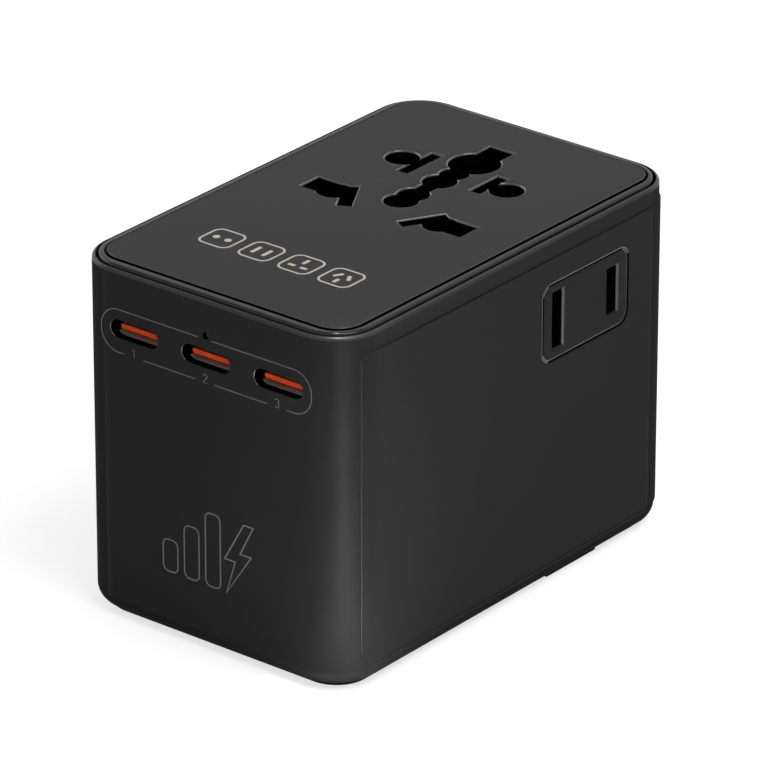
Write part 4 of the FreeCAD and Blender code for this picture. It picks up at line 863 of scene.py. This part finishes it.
# Face plate, cut to the outline of the modelled one
plate = {
    "edge": 0.07 * mm,        # its outer edge
    "lip": 0.35 * mm,         # its slots
    "thick": 2.2 * mm,
    "skim": 0.012 * mm,
}
plateTop = plateHigh.z - plate["skim"]
plateLoops = sorted(meshLoops("face_plate", 2, plateHigh.z), key=lambda loop: min(loop)[0])
plateDeep = plate["thick"] - plate["skim"]
socketPlate = slab("socketPlate", plateLoops, roundLevels(plate["edge"], plateDeep), onTop(plateTop),
                   roundLevels(plate["lip"], plateDeep))
soften(socketPlate)
# the plate's slot walls get painted shade, near black, and its lips polish with a painted glint
dress(socketPlate, paint["plateBlack"], nodes=["face_plate"],
      pick=lambda centre, normal: wallOrLip(normal.z))
print("plate loops:", len(plateLoops))

# Slider knobs: a rounded pad, with grip grooves
grip = {
    "pitch": 1.8 * mm,
    "wide": 0.8 * mm,
    "round": 0.38 * mm,
    "lip": 0.1 * mm,
    "deep": 0.42 * mm,
    "margin": 0.6 * mm,
    "count": 5,
    "steps": 8,
}
for node in knobPlaces:
    knob = knobSizes(node)
    u, v = knob["centre"]
    outline = roundedRect(knob["wide"] / 2, knob["tall"] / 2, knobs["corner"], (u, v), knobs["cornerSteps"])
    pad = slab(node + "Pad", [outline], roundLevels(knobs["round"], knob["thick"]), knob["face"])
    tools = []
    levels = cutterLevels(grip["lip"], grip["deep"])
    for i in range(grip["count"]):
        level = v + (i - (grip["count"] - 1) / 2) * grip["pitch"]
        groove = roundedRect(knob["wide"] / 2 - grip["margin"], grip["wide"] / 2, grip["round"], (u, level),
                             grip["steps"])
        tools.append(slab(f"{node}Groove{i}", [groove], levels, knob["face"]))
    carve(pad, tools)
    soften(pad)
    dress(pad, paint["knobBlack"], knob["body"], [node])
print("knobs made")

# Shutter spring: a wound wire that the shutter presses against its fixed end
spring = {
    "wire": 0.4 * mm,
    "turns": 8,
    "gap": 0.02 * mm,         # at either end
    "steps": 24,              # a turn
    "sides": 10,
    "sharp": 50,              # degrees
}


def buildSpring(low, high):
    half = spring["wire"] / 2
    radius = (high.x - low.x) / 2 - half
    first, last = low.y + half + spring["gap"], high.y - half - spring["gap"]
    count = spring["turns"] * spring["steps"]
    turn = 2 * math.pi / spring["steps"]
    bm = bmesh.new()
    rings = []
    for i in range(count + 1):
        outward = Vector((math.cos(turn * i), 0, math.sin(turn * i)))
        level = first + (last - first) * i / count
        centre = Vector(((low.x + high.x) / 2, level, (low.z + high.z) / 2)) + outward * radius
        rise = (last - first) / count
        along = Vector((-radius * turn * outward.z, rise, radius * turn * outward.x)).normalized()
        across = along.cross(outward)
        ring = []
        for k in range(spring["sides"]):
            angle = 2 * math.pi * k / spring["sides"]
            around = outward * math.cos(angle) + across * math.sin(angle)
            ring.append(bm.verts.new(centre + around * half))
        rings.append(ring)
    skin(bm, rings)
    bm.faces.new(rings[0])
    bm.faces.new(rings[-1])
    return fromBmesh("springCoil", bm)


springLow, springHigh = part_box("shutter_spring")
springCoil = buildSpring(springLow, springHigh)
soften(springCoil, spring["sharp"])
dress(springCoil, paint["steelBrushed"], nodes=["shutter_spring"])
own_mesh(springCoil)
print("spring wound")

# Port contacts: a row of gold bars under each tongue, made once by a node tree
contact = {
    "count": 8,
    "pitch": 0.62 * mm,
    "wide": 0.3 * mm,
    "long": 3.0 * mm,
    "thick": 0.04 * mm,
    "sink": 0.35 * mm,        # behind the tongue's end
}


def barRow(name, count, pitch, bar, material):
    tree = bpy.data.node_groups.new(name, "GeometryNodeTree")
    values = {"Count": count, "Pitch": pitch, "Wide": bar[0], "Long": bar[1], "Thick": bar[2]}
    tree.interface.new_socket(name="Geometry", in_out="OUTPUT", socket_type="NodeSocketGeometry")
    for label, value in values.items():
        kind = "NodeSocketInt" if label == "Count" else "NodeSocketFloat"
        socket = tree.interface.new_socket(name=label, in_out="INPUT", socket_type=kind)
        socket.default_value = value
    start = addNode(tree, "NodeGroupInput").outputs
    step = addNode(tree, "ShaderNodeCombineXYZ", {"X": start["Pitch"]})
    line = addNode(tree, "GeometryNodeMeshLine", {"Count": start["Count"], "Offset": step.outputs[0]})
    size = addNode(tree, "ShaderNodeCombineXYZ",
                   {"X": start["Wide"], "Y": start["Long"], "Z": start["Thick"]})
    cube = addNode(tree, "GeometryNodeMeshCube", {"Size": size.outputs[0]})
    points = addNode(tree, "GeometryNodeInstanceOnPoints",
                     {"Points": line.outputs["Mesh"], "Instance": cube.outputs["Mesh"]})
    real = addNode(tree, "GeometryNodeRealizeInstances", {"Geometry": points.outputs["Instances"]})
    coat = addNode(tree, "GeometryNodeSetMaterial", {"Geometry": real.outputs["Geometry"]},
                   {"Material": material})
    addNode(tree, "NodeGroupOutput", {"Geometry": coat.outputs["Geometry"]})
    row = makeObject(name, bpy.data.meshes.new(name))
    maker = row.modifiers.new("row", "NODES")
    maker.node_group = tree
    for item in tree.interface.items_tree:
        if item.in_out == "INPUT":
            maker[item.identifier] = values[item.name]
    return keepMesh(row)


for index in portNumbers:
    low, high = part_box(f"usb_port_tongue_{index}")
    row = barRow(f"portContacts{index}", contact["count"], contact["pitch"],
                 (contact["wide"], contact["long"], contact["thick"]), paint["gold"])
    across = contact["pitch"] * (contact["count"] - 1)
    row.data.transform(Matrix.Translation(((low.x + high.x - across) / 2,
                                           low.y + contact["sink"] + contact["long"] / 2,
                                           low.z - contact["thick"] / 2)))
    dress(row, paint["gold"])
print("contacts made")


# Prints: thin layers of paint on the front face and on the face plate
prints = {
    "line": 0.115 * mm,
    "thick": 0.02 * mm,
    "frameLeft": -19.0 * mm,
    "frameRight": 18.9 * mm,
    "frameLow": 41.77 * mm,
    "frameHigh": 48.33 * mm,
    "frameRound": 3.1 * mm,
    "topGap": (-1.3 * mm, 1.1 * mm),
    "numeralTall": 1.3 * mm,
    "numeralLow": 41.67 * mm,
    "numeralLine": 0.1035 * mm,
    "numeralX": (-13.1 * mm, -0.15 * mm, 12.75 * mm),
    "numeralGap": 1.75 * mm,
}


def printed(name, loops, place, material):
    layer = slab(name, loops, [(0, 0), (0, prints["thick"])], place)
    return dress(layer, material)


def portFrame():
    left, right = prints["frameLeft"], prints["frameRight"]
    low, high, turn = prints["frameLow"], prints["frameHigh"], prints["frameRound"]
    gaps = [(x - prints["numeralGap"], x + prints["numeralGap"]) for x in prints["numeralX"]]
    strokes = [[(gaps[0][1], low), (gaps[1][0], low)], [(gaps[1][1], low), (gaps[2][0], low)]]
    lowTurn, highTurn = low + turn, high - turn
    right -= turn
    left += turn
    strokes.append([(gaps[2][1], low), (right, low)] + arc((right, lowTurn), turn, -90, 0)[1:]
                   + arc((right, highTurn), turn, 0, 90) + [(prints["topGap"][1], high)])
    strokes.append([(prints["topGap"][0], high), (left, high)] + arc((left, highTurn), turn, 90, 180)[1:]
                   + arc((left, lowTurn), turn, 180, 270) + [(gaps[0][0], low)])
    return strokes


def numeral(digit, x, low, tall):
    # strokes in shares of the height
    round2, round3 = 0.27, 0.2565
    shapes = {
        1: [[(-0.2, 0.78), (0.04, 1), (0.04, 0)]],
        2: [arc((0, 1 - round2), round2, 170, -35, 14) + [(-0.28, 0), (0.3, 0)]],
        3: [arc((0, 1 - round3), round3, 150, -80, 12), arc((0, round2), round2, 80, -150, 14)],
    }[digit]
    return [[(x + u * tall, low + v * tall) for u, v in stroke] for stroke in shapes]


frontPrint = onFront(shellLow.y)
loops = []
for stroke in portFrame():
    loops += ribbon(stroke, prints["line"])
printed("portFrame", loops, frontPrint, paint["paintGrey"])
for digit, x in zip(portNumbers, prints["numeralX"]):
    for k, stroke in enumerate(numeral(digit, x, prints["numeralLow"], prints["numeralTall"])):
        printed(f"numeral{digit}part{k}", ribbon(stroke, prints["numeralLine"]), frontPrint,
                paint["paintGrey"])

badge = {
    "left": -8.2 * mm,
    "low": 10.4 * mm,
    "barWide": 2.7 * mm,
    "barStep": 3.9 * mm,
    "barTall": (5.0 * mm, 8.2 * mm, 11.4 * mm),
    "barRound": 0.972 * mm,
    "barSteps": 10,
    "line": 0.19 * mm,
    "bolt": ((2.6, 11.4), (-0.9, 5.2), (1.0, 5.2), (-0.6, 0.0), (3.9, 6.7), (1.9, 6.7), (4.3, 11.4)),
    "boltLeft": 4.0 * mm,
}
for index, tall in enumerate(badge["barTall"]):
    left = badge["left"] + index * badge["barStep"]
    middle = (left + badge["barWide"] / 2, badge["low"] + tall / 2)
    outline = roundedRect(badge["barWide"] / 2, tall / 2, badge["barRound"], middle, badge["barSteps"])
    printed(f"levelBar{index + 1}", ribbon(outline, badge["line"], True), frontPrint, paint["paintGrey"])
bolt = [(badge["boltLeft"] + u * mm, badge["low"] + v * mm) for u, v in badge["bolt"]]
printed("boltMark", ribbon(bolt, badge["line"], True), frontPrint, paint["paintGrey"])

# Four generic socket signs on the plate
marks = {
    "row": -21.45 * mm,
    "first": -11.0 * mm,
    "step": 7.17 * mm,
    "size": 5.3 * mm,
    "corner": 1.3 * mm,
    "line": 0.34 * mm,
    "cornerSteps": 10,
    "pin": 0.3 * mm,          # half thickness of a flat pin
    "pinRound": 0.1 * mm,
    "pinSteps": 4,
    "roundPin": 0.55 * mm,
}


def flatPin(u, v, tall, angle=0.0):
    # outline of a flat pin in millimetres, half its height in tall, turned by angle
    c, s = math.cos(math.radians(angle)), math.sin(math.radians(angle))
    outline = roundedRect(marks["pin"], tall * mm, marks["pinRound"], (0, 0), marks["pinSteps"])
    return [(u * mm + x * c - y * s, v * mm + x * s + y * c) for x, y in outline]


pinSets = (
    [circle(marks["roundPin"], (side * 1.05 * mm, 0)) for side in (-1, 1)],
    [flatPin(-1, 0, 1.1), flatPin(1, 0, 1.1)],
    [flatPin(0, 1.05, 0.75), flatPin(-1.05, -0.85, 0.6, 90), flatPin(1.05, -0.85, 0.6, 90)],
    [flatPin(-0.95, 0.5, 0.8, -30), flatPin(0.95, 0.5, 0.8, 30), flatPin(0, -1.2, 0.65)],
)
topPrint = onTop(plateHigh.z)
for index, pins in enumerate(pinSets):
    middle = (marks["first"] + index * marks["step"], marks["row"])
    half = marks["size"] / 2
    outline = roundedRect(half, half, marks["corner"], middle, marks["cornerSteps"])
    printed(f"signFrame{index + 1}", ribbon(outline, marks["line"], True), topPrint, paint["paintPale"])
    for k, pin in enumerate(pins):
        printed(f"sign{index + 1}pin{k + 1}", [[(u + middle[0], v + middle[1]) for u, v in pin]], topPrint,
                paint["paintPale"])
print("prints made")


# Floor, light and camera
studio = {
    "floorRadius": 6.0,
    "floorSides": 96,
    "floorGlow": 0.68,        # with what the lamps add, white to the eye
    "floorGrey": 0.48,
    "worldLight": 0.45,
    "worldSeen": 1.0,
}


def seenDirectly(tree):
    # 1 for rays from the camera, off a gloss and through glass, 0 for the light itself
    rays = tree.nodes.new("ShaderNodeLightPath")
    most = rays.outputs["Is Camera Ray"]
    for kind in ("Is Glossy Ray", "Is Transmission Ray"):
        either = addNode(tree, "ShaderNodeMath", {0: most, 1: rays.outputs[kind]})
        either.operation = "MAXIMUM"
        most = either.outputs[0]
    return most


def floorMaterial():
    material = bpy.data.materials.new("paleFloor")
    material.use_nodes = True
    tree = material.node_tree
    tree.nodes.clear()
    share = addNode(tree, "ShaderNodeMath", {0: seenDirectly(tree)}, {1: studio["floorGlow"]})
    share.operation = "MULTIPLY"
    glow = addNode(tree, "ShaderNodeEmission", {"Strength": share.outputs[0]}, {"Color": (*grey(1), 1)})
    matt = addNode(tree, "ShaderNodeBsdfDiffuse", (), {"Color": (*grey(studio["floorGrey"]), 1)})
    both = addNode(tree, "ShaderNodeAddShader", {0: glow.outputs[0], 1: matt.outputs[0]})
    # from below the floor isn't seen, so that the pins are
    side = addNode(tree, "ShaderNodeNewGeometry")
    nothing = addNode(tree, "ShaderNodeBsdfTransparent")
    chosen = addNode(tree, "ShaderNodeMixShader",
                     {0: side.outputs["Backfacing"], 1: both.outputs[0], 2: nothing.outputs[0]})
    addNode(tree, "ShaderNodeOutputMaterial", {"Surface": chosen.outputs[0]})
    return material


def buildFloor():
    bm = bmesh.new()
    bmesh.ops.create_circle(bm, cap_ends=True, segments=studio["floorSides"], radius=studio["floorRadius"])
    floor = fromBmesh("floor", bm)
    floor.data.materials.append(floorMaterial())


def buildWorld():
    world = bpy.data.worlds.new("studio")
    bpy.context.scene.world = world
    world.use_nodes = True
    tree = world.node_tree
    back = tree.nodes["Background"]
    level = addNode(tree, "ShaderNodeMapRange", {"Value": seenDirectly(tree)},
                    {"To Min": studio["worldLight"], "To Max": studio["worldSeen"]})
    back.inputs["Color"].default_value = (*grey(1), 1)
    tree.links.new(level.outputs["Result"], back.inputs["Strength"])


lamps = {
    "key": {"azimuth": 80, "elevation": 60, "far": 0.8, "wide": 0.38, "tall": 0.38, "watts": 3.0},
    "left": {"azimuth": -85, "elevation": 28, "far": 1.0, "wide": 0.6, "tall": 0.6, "watts": 1.6},
    "back": {"azimuth": 170, "elevation": 40, "far": 1.0, "wide": 0.6, "tall": 0.6, "watts": 1.0},
}
corner = {
    "azimuth": 55,            # the floor that the near upright corner mirrors
    "near": 0.062,
    "height": 0.30,
    "wide": 0.02,
    "long": 0.1,
    "watts": 0.23,
    "spread": 9,
}


def direction(azimuth, elevation):
    a, e = math.radians(azimuth), math.radians(elevation)
    return Vector((math.sin(a) * math.cos(e), -math.cos(a) * math.cos(e), math.sin(e)))


def areaLamp(name, wide, tall, watts):
    data = bpy.data.lights.new(name, "AREA")
    data.shape = "RECTANGLE"
    data.size = wide
    data.size_y = tall
    data.energy = watts
    return makeObject(name, data)


def buildLamps():
    aim = (Vector(cadBounds[0]) + Vector(cadBounds[1])) / 2
    for name, lamp in lamps.items():
        light = areaLamp(name, lamp["wide"], lamp["tall"], lamp["watts"])
        way = direction(lamp["azimuth"], lamp["elevation"])
        light.location = aim + way * lamp["far"]
        light.rotation_euler = way.to_track_quat("Z", "Y").to_euler()
    light = areaLamp("cornerPool", corner["wide"], corner["long"], corner["watts"])
    light.data.spread = math.radians(corner["spread"])
    edge = Vector((shellHigh.x - shell["corner"], shellLow.y + shell["corner"], 0))
    light.location = edge + direction(corner["azimuth"], 0) * (shell["corner"] + corner["near"])
    light.location.z = corner["height"]
    light.rotation_euler.z = math.radians(corner["azimuth"])


camera = {
    "place": (559.784 * mm, -696.146 * mm, 444.249 * mm),
    "azimuth": 38.7619,
    "elevation": 25.0037,
    "roll": 0.0448,
    "lens": 323.164,
    "sensor": 36.0,
    "near": 0.01,
    "far": 50,
}


def buildCamera():
    data = bpy.data.cameras.new("view")
    data.lens = camera["lens"]
    data.sensor_width = camera["sensor"]
    data.clip_start = camera["near"]
    data.clip_end = camera["far"]
    eye = makeObject("view", data)
    back = direction(camera["azimuth"], camera["elevation"])
    azimuth = math.radians(camera["azimuth"])
    across = Vector((math.cos(azimuth), math.sin(azimuth), 0))
    up = back.cross(across)
    roll = math.radians(camera["roll"])
    turnedAcross = across * math.cos(roll) + up * math.sin(roll)
    turnedUp = up * math.cos(roll) - across * math.sin(roll)
    turn = Matrix((turnedAcross, turnedUp, back)).transposed().to_4x4()
    eye.matrix_world = Matrix.Translation(camera["place"]) @ turn
    bpy.context.scene.camera = eye


buildFloor()
buildWorld()
buildLamps()
buildCamera()
bpy.context.scene.view_settings.view_transform = "Standard"
print("stage set")
